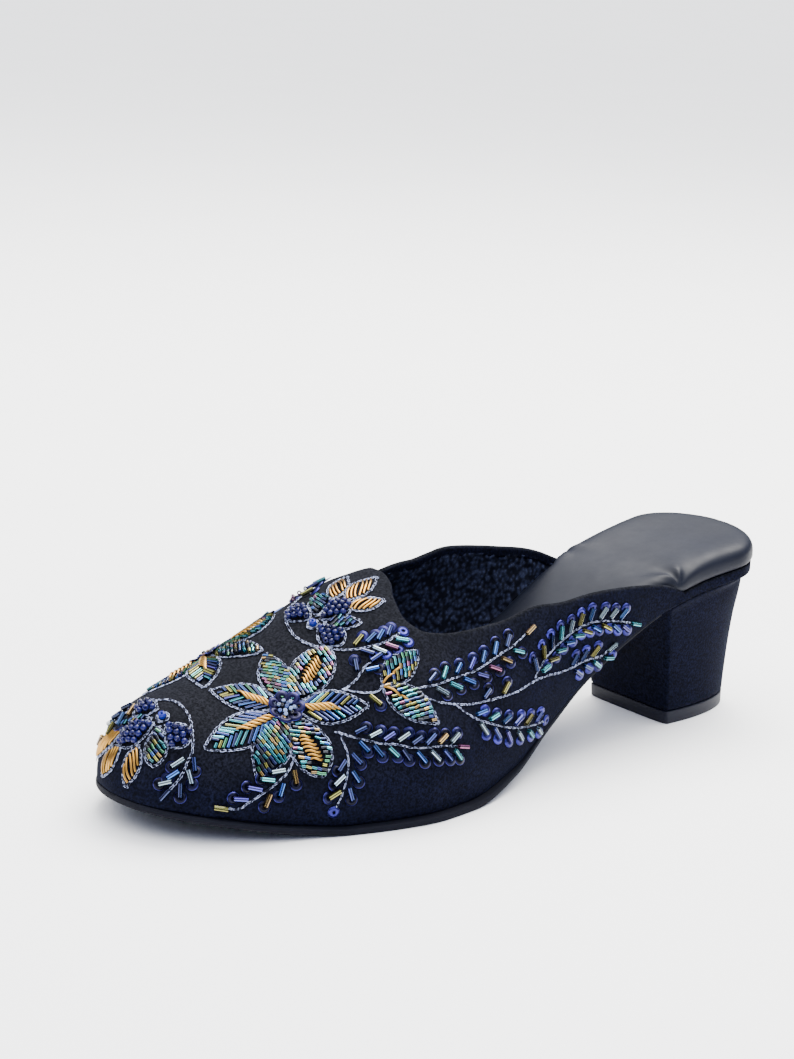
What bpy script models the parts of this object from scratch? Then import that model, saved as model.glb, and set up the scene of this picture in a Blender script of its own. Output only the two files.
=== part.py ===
"""Heeled mule, left foot: a closed-toe slip-on with a wrapped block heel. Metres, +Z up.

The toe points along -Y and the outer, little-toe side lies along +X.  Every piece is worked
out at stations: s is the distance from the back of the heel seat towards the toe.  Tables
hold millimetres; the reading functions return metres.
"""
import math
from collections import namedtuple

import bmesh
import bpy
from mathutils import Vector
from mathutils.geometry import delaunay_2d_cdt

MM = 0.001

# Driving sizes
LENGTH = 245 * MM           # heel seat to toe tip
AXIS_X = -4.4 * MM          # the heel's centre line, seen from the middle of the whole shoe
HEEL_Y = 122.7 * MM         # the back of the heel seat, seen from there too
GAP = 0.3 * MM              # between neighbouring pieces
WALL = 2.0 * MM             # suede, interlining and fleece lining together
HEEL_ROUND = 19 * MM        # length over which the heel seat rounds off
TOE_ROUND = 46 * MM         # length over which the toe outline closes
TOE_FORM = (1.94, 2.16)     # inner and outer powers of the toe's almond outline
TOE_DRIFT = -1.6 * MM       # the toe tip leans to the inner side
DRIFT_START = 150 * MM      # from this station on
TOE_DROP = 17.5 * MM        # length over which the toe's top rounds down
TUCK = 0.05                 # share of the half width that the side tucks in at the feather
TUCK_SINE = 0.35            # the tuck ends where the section angle's sine reaches this
END_GAP = 0.12 * MM         # the first and last section stand this far inside the ends
MERGE = 0.05 * MM           # points closer than this are one
SMOOTH_UNDER = 40           # edges sharper than this many degrees stay sharp

# The last, from heel to toe.  inner, outer: half widths at the feather edge; under: height of
# the bottom; sole: outsole thickness; crest: section height; ridge: how far the crest stands
# to the inner side of the centre line.
Station = namedtuple("Station", "s inner outer under sole crest ridge")
LAST = [
    Station(0, 25.8, 25.8, 51.0, 0.0, 80.0, 3.0),
    Station(20, 25.8, 26.0, 48.6, 0.0, 80.0, 3.0),
    Station(45, 25.4, 26.6, 43.6, 0.2, 79.0, 3.5),
    Station(65, 24.5, 27.6, 35.6, 1.7, 78.5, 4.0),
    Station(85, 23.0, 29.2, 25.3, 1.8, 76.6, 4.5),
    Station(105, 23.5, 33.4, 14.0, 1.9, 73.8, 5.0),
    Station(125, 27.2, 39.8, 4.4, 2.0, 66.1, 5.5),
    Station(147, 32.8, 45.2, 0.0, 2.0, 61.0, 6.4),
    Station(162, 36.2, 46.9, 0.0, 2.0, 57.6, 6.9),
    Station(175, 37.6, 45.2, 0.0, 2.0, 52.0, 6.7),
    Station(188, 37.8, 42.0, 0.0, 2.0, 45.8, 6.2),
    Station(205, 37.0, 37.2, 1.8, 2.0, 37.2, 5.3),
    Station(225, 35.0, 34.8, 5.4, 2.0, 28.4, 4.3),
    Station(245, 33.0, 33.4, 8.6, 2.0, 21.8, 3.3),
]

# The collar: where the upper's edge lies on the last, from the inner wing tip over the throat
# to the outer wing tip.  turn: -1 and 1 are the feather edges, 0 is the crest.
Collar = namedtuple("Collar", "turn s")
COLLAR = [
    Collar(-1.00, 50), Collar(-0.955, 50), Collar(-0.93, 55), Collar(-0.88, 63),
    Collar(-0.80, 75), Collar(-0.71, 88), Collar(-0.59, 103), Collar(-0.45, 119),
    Collar(-0.34, 133), Collar(-0.28, 146), Collar(-0.22, 152), Collar(-0.13, 150),
    Collar(-0.04, 147), Collar(0.04, 147), Collar(0.12, 148.5), Collar(0.21, 152.5),
    Collar(0.31, 154.4), Collar(0.38, 152), Collar(0.42, 146), Collar(0.47, 136),
    Collar(0.52, 126), Collar(0.58, 115.5), Collar(0.70, 98.5), Collar(0.79, 81),
    Collar(0.86, 67), Collar(0.91, 56), Collar(0.955, 44), Collar(1.00, 44),
]

# How far the outsole stands out from the feather edge.
Welt = namedtuple("Welt", "s proud")
WELT = [Welt(0, -2.0), Welt(80, -2.2), Welt(110, -1.4), Welt(145, 0.4), Welt(245, 0.6)]
OUTSOLE_END = 52 * MM       # the outsole stops here, in front of the heel breast
SOLE_CHAMFER = 0.6 * MM
SOLE_RINGS = 44

# The two layers on the bottom inside the upper: lasting board and padded insole.
Layer = namedtuple("Layer", "s board pad")
LAYERS = [
    Layer(0, 3.3, 7.4), Layer(25, 3.3, 7.4), Layer(50, 3.0, 7.0), Layer(70, 2.4, 5.6),
    Layer(100, 2.2, 3.8), Layer(130, 2.0, 3.0), Layer(245, 2.0, 3.0),
]
WALL_ROOM = 3.0 * MM        # the slanting wall's width with the gap beside it
WING_TIP = {1: 43.4 * MM, -1: 49.4 * MM}    # the layers have stepped in here, to pass inside
BOARD_STEP = 1.4 * MM       # length of the board's step
INSOLE_STEP = 7 * MM        # length of the insole's
INSOLE_TOE = 6 * MM         # the board and insole stop this far short of the toe
INSOLE_ROLL = 6 * MM        # widest part of the insole's rolled edge
ROLL_FOOT = 0.15            # share of the roll that its foot stands in
ROLL_LOW = 0.28             # the roll starts at this share of the thickness
ROLL_RISE = 0.66            # and rises by this share
ROLL_POINTS = 6
ROLL_SHARE = 0.3            # a narrow section's roll is at most this share of its width
BOARD_RINGS = 34
INSOLE_RINGS = 38

# The heel block, from the floor up.  breast, back: its front and rear stations; form: how
# square the back of its plan is.
Level = namedtuple("Level", "z half breast back form")
HEEL = [
    Level(0.0, 18.6, 40.5, 1.0, 2.3),
    Level(4.5, 18.7, 40.9, 1.0, 2.3),
    Level(18, 19.6, 42.4, 0.9, 2.4),
    Level(32, 21.3, 45.0, 0.8, 2.6),
    Level(44, 23.6, 48.2, 0.7, 2.9),
    Level(60, 25.0, 51.5, 0.7, 3.2),
]
TOP_PIECE = 4.5 * MM        # thickness of the rubber tip
BREAST_CROWN = 2.0 * MM     # how far the breast swells between its rounded corners
BREAST_FORM = 5.0           # squareness of those corners
HEEL_CUTS = (12, 20, 28, 36, 44, 52, 60)
PLAN_POINTS = 36
SEAT_CUTS = (-4, 0, 8, 16, 24, 32, 40, 46, 52, 58)
SEAT_REACH = 40 * MM        # the seat cutter is this much wider and higher than the seat line

# The upper's mesh
COLUMNS = 40                # along the collar
ROWS = 24                   # from the collar to the toe
EDGE_SAMPLES = 400

# Beadwork: low pads over the larger motifs.  Places are on the upper's own chart: s, and the
# girth g, measured over the section from the crest, outwards positive.
PAD_LIFT = 0.5 * MM         # clear of the suede
PAD_THICK = 1.1 * MM
PAD_GRID = 7.0 * MM         # spacing of the points inside a pad
PETAL_STEPS = 7
PETAL_FORM = 0.8            # 1 gives a spindle, less a fuller petal
GIRTH_STEP = 0.02           # turn that one step over the section takes
BEAD_AXIS = 7 * MM          # girth of the line about which the inner side's pads mirror
Petal = namedtuple("Petal", "s g heading length width")
FLOWER = [
    Petal(200, 28.5, -55, 25.5, 10.5), Petal(200, 28.5, -8, 27.5, 11),
    Petal(200, 28.5, 42, 21, 11.5), Petal(200, 28.5, 98, 23.5, 12),
    Petal(200, 28.5, 144, 26, 10.5), Petal(200, 28.5, 200, 20.5, 12.5),
    Petal(200, 28.5, 254, 21.5, 9.5),
]
LEAF_PAIR = [
    Petal(173, 42, 191, 16, 8.5), Petal(172.5, 43.5, 129, 22, 10),
    Petal(172.5, 42.5, 150, 11, 6),
]
THROAT_MOTIF = [
    Petal(171, 9, 216, 17.5, 7.5), Petal(171, 11, 194, 19.5, 8), Petal(171, 12, 162, 15, 7),
    Petal(178, 10.5, 175, 14, 9), Petal(178.5, 10, -88, 13, 8), Petal(178, 11, 94, 13, 9),
    Petal(176, 10, 232, 11.5, 7), Petal(176, 12, 130, 13, 7),
]
TOE_MOTIF = [
    Petal(237, 2, -95, 16, 7), Petal(237.5, 3, -66, 14, 7), Petal(238, 6.5, 30, 6.5, 6),
    Petal(232, 7, -72, 13, 8), Petal(233, 8, -52, 13.5, 8.5), Petal(232, 8, 101, 13, 8.5),
    Petal(232.5, 7, 62, 11, 8),
]


# ---------------------------------------------------------------- reading the tables

def smooth(xs, ys, x):
    """Value at x of a curve through the points that never overshoots them."""
    step = [b - a for a, b in zip(xs, xs[1:])]
    rise = [(b - a) / h for a, b, h in zip(ys, ys[1:], step)]
    slope = [rise[0]]
    for i in range(1, len(xs) - 1):
        turning = rise[i - 1] * rise[i] <= 0
        slope.append(0 if turning else 2 / (1 / rise[i - 1] + 1 / rise[i]))
    slope.append(rise[-1])
    x = min(max(x, xs[0]), xs[-1])
    i = max(k for k in range(len(step)) if k == 0 or xs[k] <= x)
    h = step[i]
    t = (x - xs[i]) / h
    return ((1 + 2 * t) * (1 - t) ** 2 * ys[i] + t * (1 - t) ** 2 * h * slope[i]
            + t * t * (3 - 2 * t) * ys[i + 1] + t * t * (t - 1) * h * slope[i + 1])


def read(table, column, s):
    """A column of a table at station s, both in metres."""
    xs = [row[0] * MM for row in table]
    ys = [getattr(row, column) * MM for row in table]
    return smooth(xs, ys, s)


def collar_at(turn):
    return smooth([row.turn for row in COLLAR], [row.s * MM for row in COLLAR], turn)


def ease(value):
    """0 to 1 with flat ends."""
    value = min(max(value, 0), 1)
    return value * value * (3 - 2 * value)


# ---------------------------------------------------------------- the last

def closing(s):
    """How far the outline is closed by the heel's and the toe's round ends, 1 between them."""
    heel = min(s / HEEL_ROUND, 1)
    toe = min(max((s - LENGTH + TOE_ROUND) / TOE_ROUND, 0), 1)
    inner, outer = TOE_FORM
    return math.sqrt(max(1 - (1 - heel) ** 2, 0)) * max(1 - toe ** inner, 0) ** (1 / outer)


def centre_at(s):
    """X of the shoe's centre line."""
    drift = max(s - DRIFT_START, 0) / (LENGTH - DRIFT_START)
    return AXIS_X + TOE_DRIFT * drift * drift


def edge_at(s, side):
    """X of the feather edge, side 1 outer and -1 inner."""
    half = read(LAST, "outer" if side > 0 else "inner", s)
    return centre_at(s) + side * half * closing(s)


def feather_at(s):
    """Height of the upper's lower edge."""
    return read(LAST, "under", s) + read(LAST, "sole", s) + GAP


def last_point(s, turn):
    """Point on the outside of the upper; turn runs from -1, inner feather, to 1, outer."""
    side = 1 if turn >= 0 else -1
    angle = (1 - abs(turn)) * math.pi / 2
    toe = min(max((s - LENGTH + TOE_ROUND) / TOE_ROUND, 0), 1)
    drop = min(max((s - LENGTH + TOE_DROP) / TOE_DROP, 0), 1)
    ridge = AXIS_X - read(LAST, "ridge", s)
    ridge += (centre_at(s) - ridge) * toe * toe
    height = read(LAST, "crest", s) * math.sqrt(max(1 - drop * drop, 0))
    tuck = 1 - TUCK * max(1 - math.sin(angle) / TUCK_SINE, 0) ** 2
    x = ridge + (edge_at(s, side) - ridge) * math.cos(angle) * tuck
    return Vector((x, HEEL_Y - s, feather_at(s) + height * math.sin(angle)))


def outward_at(s, turn):
    """Unit normal of the upper's outside."""
    ds = 0.5 * MM
    dt = 0.01
    s = min(max(s, ds), LENGTH - 4 * ds)
    along = last_point(s + ds, turn) - last_point(s - ds, turn)
    around = last_point(s, min(turn + dt, 1)) - last_point(s, max(turn - dt, -1))
    return around.cross(along).normalized() * -1


def chart_point(s, g, lift):
    """Point that stands lift above the upper, at station s and girth g from the crest."""
    side = 1 if g >= 0 else -1
    turn = 0.0
    gone = 0.0
    here = last_point(s, turn)
    while gone < abs(g) and abs(turn) < 1:
        turn += side * GIRTH_STEP
        there = last_point(s, turn)
        step = (there - here).length
        gone += step
        here = there
    turn -= side * GIRTH_STEP * (gone - abs(g)) / step
    return last_point(s, turn) + outward_at(s, turn) * lift


# ---------------------------------------------------------------- making objects

def clear_scene():
    for obj in list(bpy.data.objects):
        bpy.data.objects.remove(obj, do_unlink=True)


def collection(name):
    group = bpy.data.collections.new(name)
    bpy.context.scene.collection.children.link(group)
    return group


def material(name, colour, roughness):
    mat = bpy.data.materials.new(name)
    mat.use_nodes = True
    shader = mat.node_tree.nodes["Principled BSDF"]
    shader.inputs["Base Color"].default_value = (*colour, 1)
    shader.inputs["Roughness"].default_value = roughness
    shader.inputs["Metallic"].default_value = 0.0
    return mat


def new_object(name, bm, group, mat=None):
    mesh = bpy.data.meshes.new(name)
    bm.to_mesh(mesh)
    bm.free()
    obj = bpy.data.objects.new(name, mesh)
    group.objects.link(obj)
    if mat:
        mesh.materials.append(mat)
        mesh.shade_smooth()
        mesh.set_sharp_from_angle(angle=math.radians(SMOOTH_UNDER))
    return obj


def loft(rings):
    """Closed body through rings of equal length, with a face on each end."""
    bm = bmesh.new()
    rows = [[bm.verts.new(point) for point in ring] for ring in rings]
    for low, high in zip(rows, rows[1:]):
        for i in range(len(low)):
            j = (i + 1) % len(low)
            bm.faces.new((low[i], low[j], high[j], high[i]))
    bm.faces.new(rows[0])
    bm.faces.new(rows[-1])
    bmesh.ops.recalc_face_normals(bm, faces=bm.faces)
    return bm


def stations(start, end, count):
    """Stations from start to end, close together where the outline rounds off."""
    mid = (start + end) / 2
    reach = (end - start) / 2 - END_GAP
    return [mid - reach * math.cos(math.pi * i / (count - 1)) for i in range(count)]


def solidify(obj, thickness, offset, even):
    mod = obj.modifiers.new("Thickness", "SOLIDIFY")
    mod.thickness = thickness
    mod.offset = offset
    mod.use_even_offset = even
    mod.use_rim = True
    return mod


# ---------------------------------------------------------------- upper

def upper(group, mat):
    """Lasted shell: columns run from the collar to the toe tip, even along the collar."""
    fine = [-1 + 2 * i / EDGE_SAMPLES for i in range(EDGE_SAMPLES + 1)]
    edge = [last_point(collar_at(turn), turn) for turn in fine]
    gone = [0.0]
    for a, b in zip(edge, edge[1:]):
        gone.append(gone[-1] + (b - a).length)
    turns = [smooth(gone, fine, gone[-1] * i / COLUMNS) for i in range(COLUMNS + 1)]
    bm = bmesh.new()
    grid = []
    for turn in turns:
        start = collar_at(turn)
        run = [math.sin(math.pi / 2 * i / ROWS) for i in range(ROWS + 1)]
        grid.append([bm.verts.new(last_point(start + (LENGTH - start) * u, turn)) for u in run])
    for left, right in zip(grid, grid[1:]):
        for i in range(ROWS):
            bm.faces.new((left[i], right[i], right[i + 1], left[i + 1]))
    bmesh.ops.remove_doubles(bm, verts=bm.verts, dist=MERGE)
    bmesh.ops.recalc_face_normals(bm, faces=bm.faces)
    highest = max(bm.faces, key=lambda face: face.calc_center_median().z)
    if highest.normal.z < 0:
        bmesh.ops.reverse_faces(bm, faces=bm.faces)
    obj = new_object("upper", bm, group, mat)
    solidify(obj, WALL, -1, True)
    return obj


# ---------------------------------------------------------------- bottom pieces

def board_bottom(s):
    return read(LAST, "under", s) + read(LAST, "sole", s) + GAP


def board_top(s):
    return board_bottom(s) + read(LAYERS, "board", s)


def outsole(group, mat):
    """Rubber sole from the toe to the heel breast: proud round the forepart, a little inside
    the upper along the waist."""
    rings = []
    marks = [s for s in stations(0, LENGTH, SOLE_RINGS) if s > OUTSOLE_END + 2 * MM]
    for s in [OUTSOLE_END] + marks:
        low = read(LAST, "under", s)
        high = low + read(LAST, "sole", s)
        proud = read(WELT, "proud", s) * closing(s)
        inner = edge_at(s, -1) - proud
        outer = edge_at(s, 1) + proud
        cut = min(SOLE_CHAMFER, (high - low) / 3)
        y = HEEL_Y - s
        rings.append([(inner, y, low + cut), (inner + cut, y, low), (outer - cut, y, low),
                      (outer, y, low + cut), (outer, y, high), (inner, y, high)])
    return new_object("outsole", loft(rings), group, mat)


def inside(s, side, run):
    """X of a bottom layer's edge: flush with the upper behind the wing tips, and clear of the
    inside of the tucked-in wall ahead of them.  run: length over which it steps in."""
    ahead = ease((s - WING_TIP[side] + run) / run)
    half = read(LAST, "outer" if side > 0 else "inner", s)
    half -= ahead * (TUCK * (half + read(LAST, "ridge", s)) + WALL_ROOM)
    return centre_at(s) + side * half * closing(s * LENGTH / (LENGTH - INSOLE_TOE * ahead))


def board(group, mat):
    """Lasting board, wrapped in suede where it shows round the heel seat."""
    end = LENGTH - INSOLE_TOE
    marks = stations(0, end, BOARD_RINGS)
    for tip in WING_TIP.values():
        marks += [tip - BOARD_STEP, tip]
    rings = []
    for s in sorted(marks):
        y = HEEL_Y - s
        inner = inside(s, -1, BOARD_STEP)
        outer = inside(s, 1, BOARD_STEP)
        rings.append([(inner, y, board_bottom(s)), (outer, y, board_bottom(s)),
                      (outer, y, board_top(s)), (inner, y, board_top(s))])
    return new_object("midsole", loft(rings), group, mat)


def insole(group, mat):
    """Padded insole with a rolled edge: thick on the heel seat, thin inside the toe."""
    end = LENGTH - INSOLE_TOE
    rings = []
    for s in sorted(stations(0, end, INSOLE_RINGS) + list(WING_TIP.values())):
        low = board_top(s) + GAP
        thick = read(LAYERS, "pad", s)
        inner = inside(s, -1, INSOLE_STEP)
        outer = inside(s, 1, INSOLE_STEP)
        y = HEEL_Y - s
        roll = min(INSOLE_ROLL, thick, (outer - inner) * ROLL_SHARE)
        foot = ROLL_FOOT * roll
        arc = []
        for i in range(ROLL_POINTS):
            angle = math.pi / 2 * i / (ROLL_POINTS - 1)
            height = low + thick * (ROLL_LOW + ROLL_RISE * math.sin(angle))
            arc.append((roll * (1 - math.cos(angle)), height))
        ring = [(inner + foot, y, low), (outer - foot, y, low)]
        ring += [(outer - across, y, z) for across, z in arc]
        ring.append(((inner + outer) / 2, y, low + thick))
        ring += [(inner + across, y, z) for across, z in reversed(arc)]
        rings.append(ring)
    return new_object("insole", loft(rings), group, mat)


# ---------------------------------------------------------------- heel

def heel_plan(z):
    """Plan of the heel block at height z: a flat breast with round corners, a round back."""
    half = read(HEEL, "half", z)
    breast = read(HEEL, "breast", z)
    back = read(HEEL, "back", z)
    form = smooth([row.z * MM for row in HEEL], [row.form for row in HEEL], z)
    points = []
    for i in range(PLAN_POINTS):
        angle = 2 * math.pi * i / PLAN_POINTS
        front = math.sin(angle) < 0
        power = 2 / (BREAST_FORM if front else form)
        reach = BREAST_CROWN if front else breast - BREAST_CROWN - back
        across = math.copysign(abs(math.cos(angle)) ** power, math.cos(angle))
        along = math.copysign(abs(math.sin(angle)) ** power, math.sin(angle))
        points.append((AXIS_X + half * across, HEEL_Y - breast + BREAST_CROWN + reach * along))
    return points


def seat_cutter(group):
    """Everything above the underside of the heel seat, less the gap."""
    rings = []
    left = AXIS_X - SEAT_REACH
    right = AXIS_X + SEAT_REACH
    for cut in SEAT_CUTS:
        s = cut * MM
        y = HEEL_Y - s
        low = board_bottom(s) - GAP
        high = low + SEAT_REACH
        rings.append([(left, y, low), (right, y, low), (right, y, high), (left, y, high)])
    obj = new_object("seat_cutter", loft(rings), group)
    obj.hide_render = True
    obj.display_type = "WIRE"
    return obj


def heel(group, cutters, mat):
    """Block heel: lofted from the top piece up, cut off along the heel seat."""
    levels = [TOP_PIECE + GAP] + [z * MM for z in HEEL_CUTS]
    rings = [[(x, y, z) for x, y in heel_plan(z)] for z in levels]
    obj = new_object("heel", loft(rings), group, mat)
    cut = obj.modifiers.new("Seat", "BOOLEAN")
    cut.operation = "DIFFERENCE"
    cut.solver = "EXACT"
    cut.object = seat_cutter(cutters)
    return obj


def top_piece(group, mat):
    """Rubber tip: the heel's own plan, a flat slab on the floor."""
    curve = bpy.data.curves.new("top_piece_outline", "CURVE")
    curve.dimensions = "2D"
    curve.fill_mode = "BOTH"
    curve.extrude = TOP_PIECE / 2
    curve.render_resolution_u = 0
    plan = heel_plan(TOP_PIECE / 2)
    spline = curve.splines.new("POLY")
    spline.points.add(len(plan) - 1)
    for point, (x, y) in zip(spline.points, plan):
        point.co = (x, y, 0, 1)
    spline.use_cyclic_u = True
    curve.materials.append(mat)
    obj = bpy.data.objects.new("top_piece", curve)
    obj.location.z = TOP_PIECE / 2
    group.objects.link(obj)
    return obj


# ---------------------------------------------------------------- beadwork pads

def petal_outline(petal, side):
    """Pointed leaf on the chart; heading 0 is towards the toe, 90 away from the crest."""
    heading = math.radians(petal.heading)
    ahead = (math.cos(heading), math.sin(heading))
    points = []
    for i in range(2 * PETAL_STEPS):
        half = 1 if i < PETAL_STEPS else -1
        u = (i if i < PETAL_STEPS else 2 * PETAL_STEPS - i) / PETAL_STEPS
        swell = math.sin(math.pi * min(u, 1) ** PETAL_FORM)
        wide = half * petal.width / 2 * max(swell, 0) ** PETAL_FORM
        s = (petal.s + petal.length * u * ahead[0] - wide * ahead[1]) * MM
        g = (petal.g + petal.length * u * ahead[1] + wide * ahead[0]) * MM
        points.append(Vector((s, g if side > 0 else 2 * BEAD_AXIS - g)))
    return points


def pad(name, petals, side, group, mat):
    """Raised pad over a group of petals, laid on the upper's outside."""
    verts = []
    faces = []
    for petal in petals:
        outline = petal_outline(petal, side)
        faces.append(list(range(len(verts), len(verts) + len(outline))))
        verts.extend(outline)
    low = [min(v[k] for v in verts) for k in (0, 1)]
    high = [max(v[k] for v in verts) for k in (0, 1)]
    for i in range(1, int((high[0] - low[0]) / PAD_GRID) + 1):
        for j in range(1, int((high[1] - low[1]) / PAD_GRID) + 1):
            verts.append(Vector((low[0] + i * PAD_GRID, low[1] + j * PAD_GRID)))
    flat, _, tris, _, _, _ = delaunay_2d_cdt(verts, [], faces, 1, 0.00001)
    bm = bmesh.new()
    used = sorted({i for tri in tris for i in tri})
    made = {i: bm.verts.new(chart_point(flat[i].x, flat[i].y, PAD_LIFT)) for i in used}
    for tri in tris:
        bm.faces.new([made[i] for i in tri])
    bmesh.ops.remove_doubles(bm, verts=bm.verts, dist=MERGE)
    bmesh.ops.recalc_face_normals(bm, faces=bm.faces)
    highest = max(bm.faces, key=lambda face: face.calc_center_median().z)
    if highest.normal.z < 0:
        bmesh.ops.reverse_faces(bm, faces=bm.faces)
    obj = new_object(name, bm, group, mat)
    solidify(obj, PAD_THICK, 1, False)
    return obj


def build():
    clear_scene()
    parts = collection("heeled_mule")
    cutters = collection("cutters")
    suede = material("black_suede", (0.016, 0.016, 0.024), 0.95)
    sheet = material("insole_sheet", (0.030, 0.032, 0.038), 0.42)
    rubber = material("sole_rubber", (0.018, 0.018, 0.022), 0.60)
    beads = material("bead_mosaic", (0.090, 0.150, 0.220), 0.25)
    upper(parts, suede)
    insole(parts, sheet)
    board(parts, suede)
    outsole(parts, rubber)
    heel(parts, cutters, suede)
    top_piece(parts, rubber)
    for word, side in (("outer", 1), ("inner", -1)):
        pad("flower_" + word, FLOWER, side, parts, beads)
        pad("leaf_pair_" + word, LEAF_PAIR, side, parts, beads)
    pad("throat_motif", THROAT_MOTIF, 1, parts, beads)
    pad("toe_motif", TOE_MOTIF, 1, parts, beads)


build()
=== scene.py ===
"""Heeled mule for the left foot, dressed over its solids: black suede with a fleece lining, a
padded insole, a wrapped block heel on a rubber tip, and a vamp worked in beads and metal thread.

Metres, +Z up.  The toe points along -Y and the outer, little-toe side lies along +X.
"""
import math
from collections import namedtuple

import bmesh
import bpy
import numpy as np
from mathutils import Matrix, Vector, noise


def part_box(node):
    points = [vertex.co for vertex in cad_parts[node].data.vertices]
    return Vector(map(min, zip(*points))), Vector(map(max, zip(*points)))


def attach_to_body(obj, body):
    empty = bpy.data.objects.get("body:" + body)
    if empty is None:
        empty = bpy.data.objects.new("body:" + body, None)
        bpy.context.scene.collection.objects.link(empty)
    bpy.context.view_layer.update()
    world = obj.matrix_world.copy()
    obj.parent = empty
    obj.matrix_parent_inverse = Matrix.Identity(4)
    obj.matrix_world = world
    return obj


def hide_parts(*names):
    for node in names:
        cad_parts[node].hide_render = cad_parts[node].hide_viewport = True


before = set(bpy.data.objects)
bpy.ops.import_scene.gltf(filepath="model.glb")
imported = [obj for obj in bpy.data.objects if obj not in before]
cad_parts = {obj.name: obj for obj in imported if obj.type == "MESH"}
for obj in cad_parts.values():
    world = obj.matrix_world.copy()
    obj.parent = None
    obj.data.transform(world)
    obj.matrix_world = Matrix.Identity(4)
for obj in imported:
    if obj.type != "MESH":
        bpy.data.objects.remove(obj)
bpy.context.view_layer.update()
MM = 0.001


# ---------------------------------------------------------------- floor, light and camera
# The shoe stands alone on a pale studio floor.  A wide softbox hangs over it, weaker ones stand
# on the toe side and the camera side, and the pale floor lights the flanks from below.

FLOOR_SIZE = 12.0
FLOOR_TONE = "#fcfcfb"
CARD_CLOUD = 0.12
ZENITH, HORIZON = "#ffffff", "#6f82b4"
ZENITH_STRENGTH, HORIZON_STRENGTH = 4.7, 0.13
AZIMUTH, ELEVATION, ROLL = 49.5, 17.85, 2.51      # degrees round the heel's axis
DISTANCE = 0.7945           # from a point on that axis, at HUB_HEIGHT
HUB_HEIGHT = 25 * MM
AIM_AHEAD = -21.4 * MM      # where the line of sight crosses the heel's own plane
AIM_HEIGHT = 76.5 * MM
LENS = 85.2


def tone(code):
    """Linear colour of an sRGB hex code."""
    channels = [int(code[i:i + 2], 16) / 255 for i in (1, 3, 5)]
    return [c / 12.92 if c <= 0.04045 else ((c + 0.055) / 1.055) ** 2.4 for c in channels] + [1.0]


def node(tree, kind, inputs=(), **settings):
    """Adds a node to a tree; inputs maps a socket's name or number to a value or a socket."""
    made = tree.nodes.new(kind)
    for name, value in settings.items():
        setattr(made, name, value)
    for key, value in dict(inputs).items():
        if isinstance(value, bpy.types.NodeSocket):
            tree.links.new(value, made.inputs[key])
        else:
            made.inputs[key].default_value = value
    return made


def material(name, **values):
    """A new material with its tree, its shader and the object's own coordinates."""
    mat = bpy.data.materials.new(name)
    mat.use_nodes = True
    tree = mat.node_tree
    shader = tree.nodes["Principled BSDF"]
    for socket, value in values.items():
        shader.inputs[socket.replace("_", " ")].default_value = value
    place = node(tree, "ShaderNodeTexCoord").outputs["Object"]
    return mat, tree, shader, place


def mixed(tree, amount, low, high):
    """Colour between low and high, each a tone or a socket."""
    return node(tree, "ShaderNodeMix", {0: amount, 6: low, 7: high}, data_type="RGBA").outputs[2]


def ranged(tree, value, low, high, start=0.0, end=1.0, **settings):
    """A value whose range from low to high is brought to start and end."""
    return node(tree, "ShaderNodeMapRange", {"Value": value, "From Min": low, "From Max": high,
                                             "To Min": start, "To Max": end}, **settings).outputs["Result"]


def cloudy(tree, place, size, **settings):
    """Soft noise with blots about size wide; settings are the noise's own sockets."""
    return node(tree, "ShaderNodeTexNoise", {"Vector": place, "Scale": 1 / size, **settings}).outputs["Fac"]


def reckoned(tree, operation, *values):
    """Sum, product or the like of numbers and sockets."""
    return node(tree, "ShaderNodeMath", dict(enumerate(values)), operation=operation).outputs[0]


def facing_up(tree):
    """How far a surface faces up: 1 level, 0 upright, -1 facing down."""
    normal = node(tree, "ShaderNodeNewGeometry").outputs["Normal"]
    return node(tree, "ShaderNodeSeparateXYZ", {0: normal}).outputs["Z"]


def colour_with(tree, shader, colour):
    tree.links.new(colour, shader.inputs["Base Color"])


def emboss(tree, shader, height, strength, depth):
    """Adds a bump on top of any that the shader has."""
    inputs = {"Height": height, "Strength": strength, "Distance": depth}
    for link in shader.inputs["Normal"].links:
        inputs["Normal"] = link.from_socket
    bump = node(tree, "ShaderNodeBump", inputs)
    tree.links.new(bump.outputs["Normal"], shader.inputs["Normal"])


def mesh_piece(name, points, faces, mat, smooth=True):
    """A mesh object at the origin from rows of points."""
    mesh = bpy.data.meshes.new(name)
    mesh.from_pydata([tuple(point) for point in points], [], faces)
    mesh.materials.append(mat)
    if smooth:
        mesh.shade_smooth()
    piece = bpy.data.objects.new(name, mesh)
    bpy.context.scene.collection.objects.link(piece)
    return piece


def lamp(name, place, aim, width, height, power, colour):
    light = bpy.data.lights.new(name, "AREA")
    light.shape = "RECTANGLE"
    light.size = width
    light.size_y = height
    light.energy = power
    light.color = tone(colour)[:3]
    holder = bpy.data.objects.new(name, light)
    holder.location = place
    holder.rotation_euler = (Vector(aim) - Vector(place)).to_track_quat("-Z", "Y").to_euler()
    bpy.context.scene.collection.objects.link(holder)


# Painted card: even and matt, with a faint cloudiness a hand wide.
card, tree, shader, place = material("painted_card", Roughness=0.7)
colour_with(tree, shader, mixed(tree, cloudy(tree, place, CARD_CLOUD, Detail=2.0), tone("#f8f8f7"),
                                tone(FLOOR_TONE)))
half = FLOOR_SIZE / 2
floor = mesh_piece("studio_floor", [(-half, -half, 0), (half, -half, 0), (half, half, 0), (-half, half, 0)],
                   [(0, 1, 2, 3)], card, smooth=False)

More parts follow.
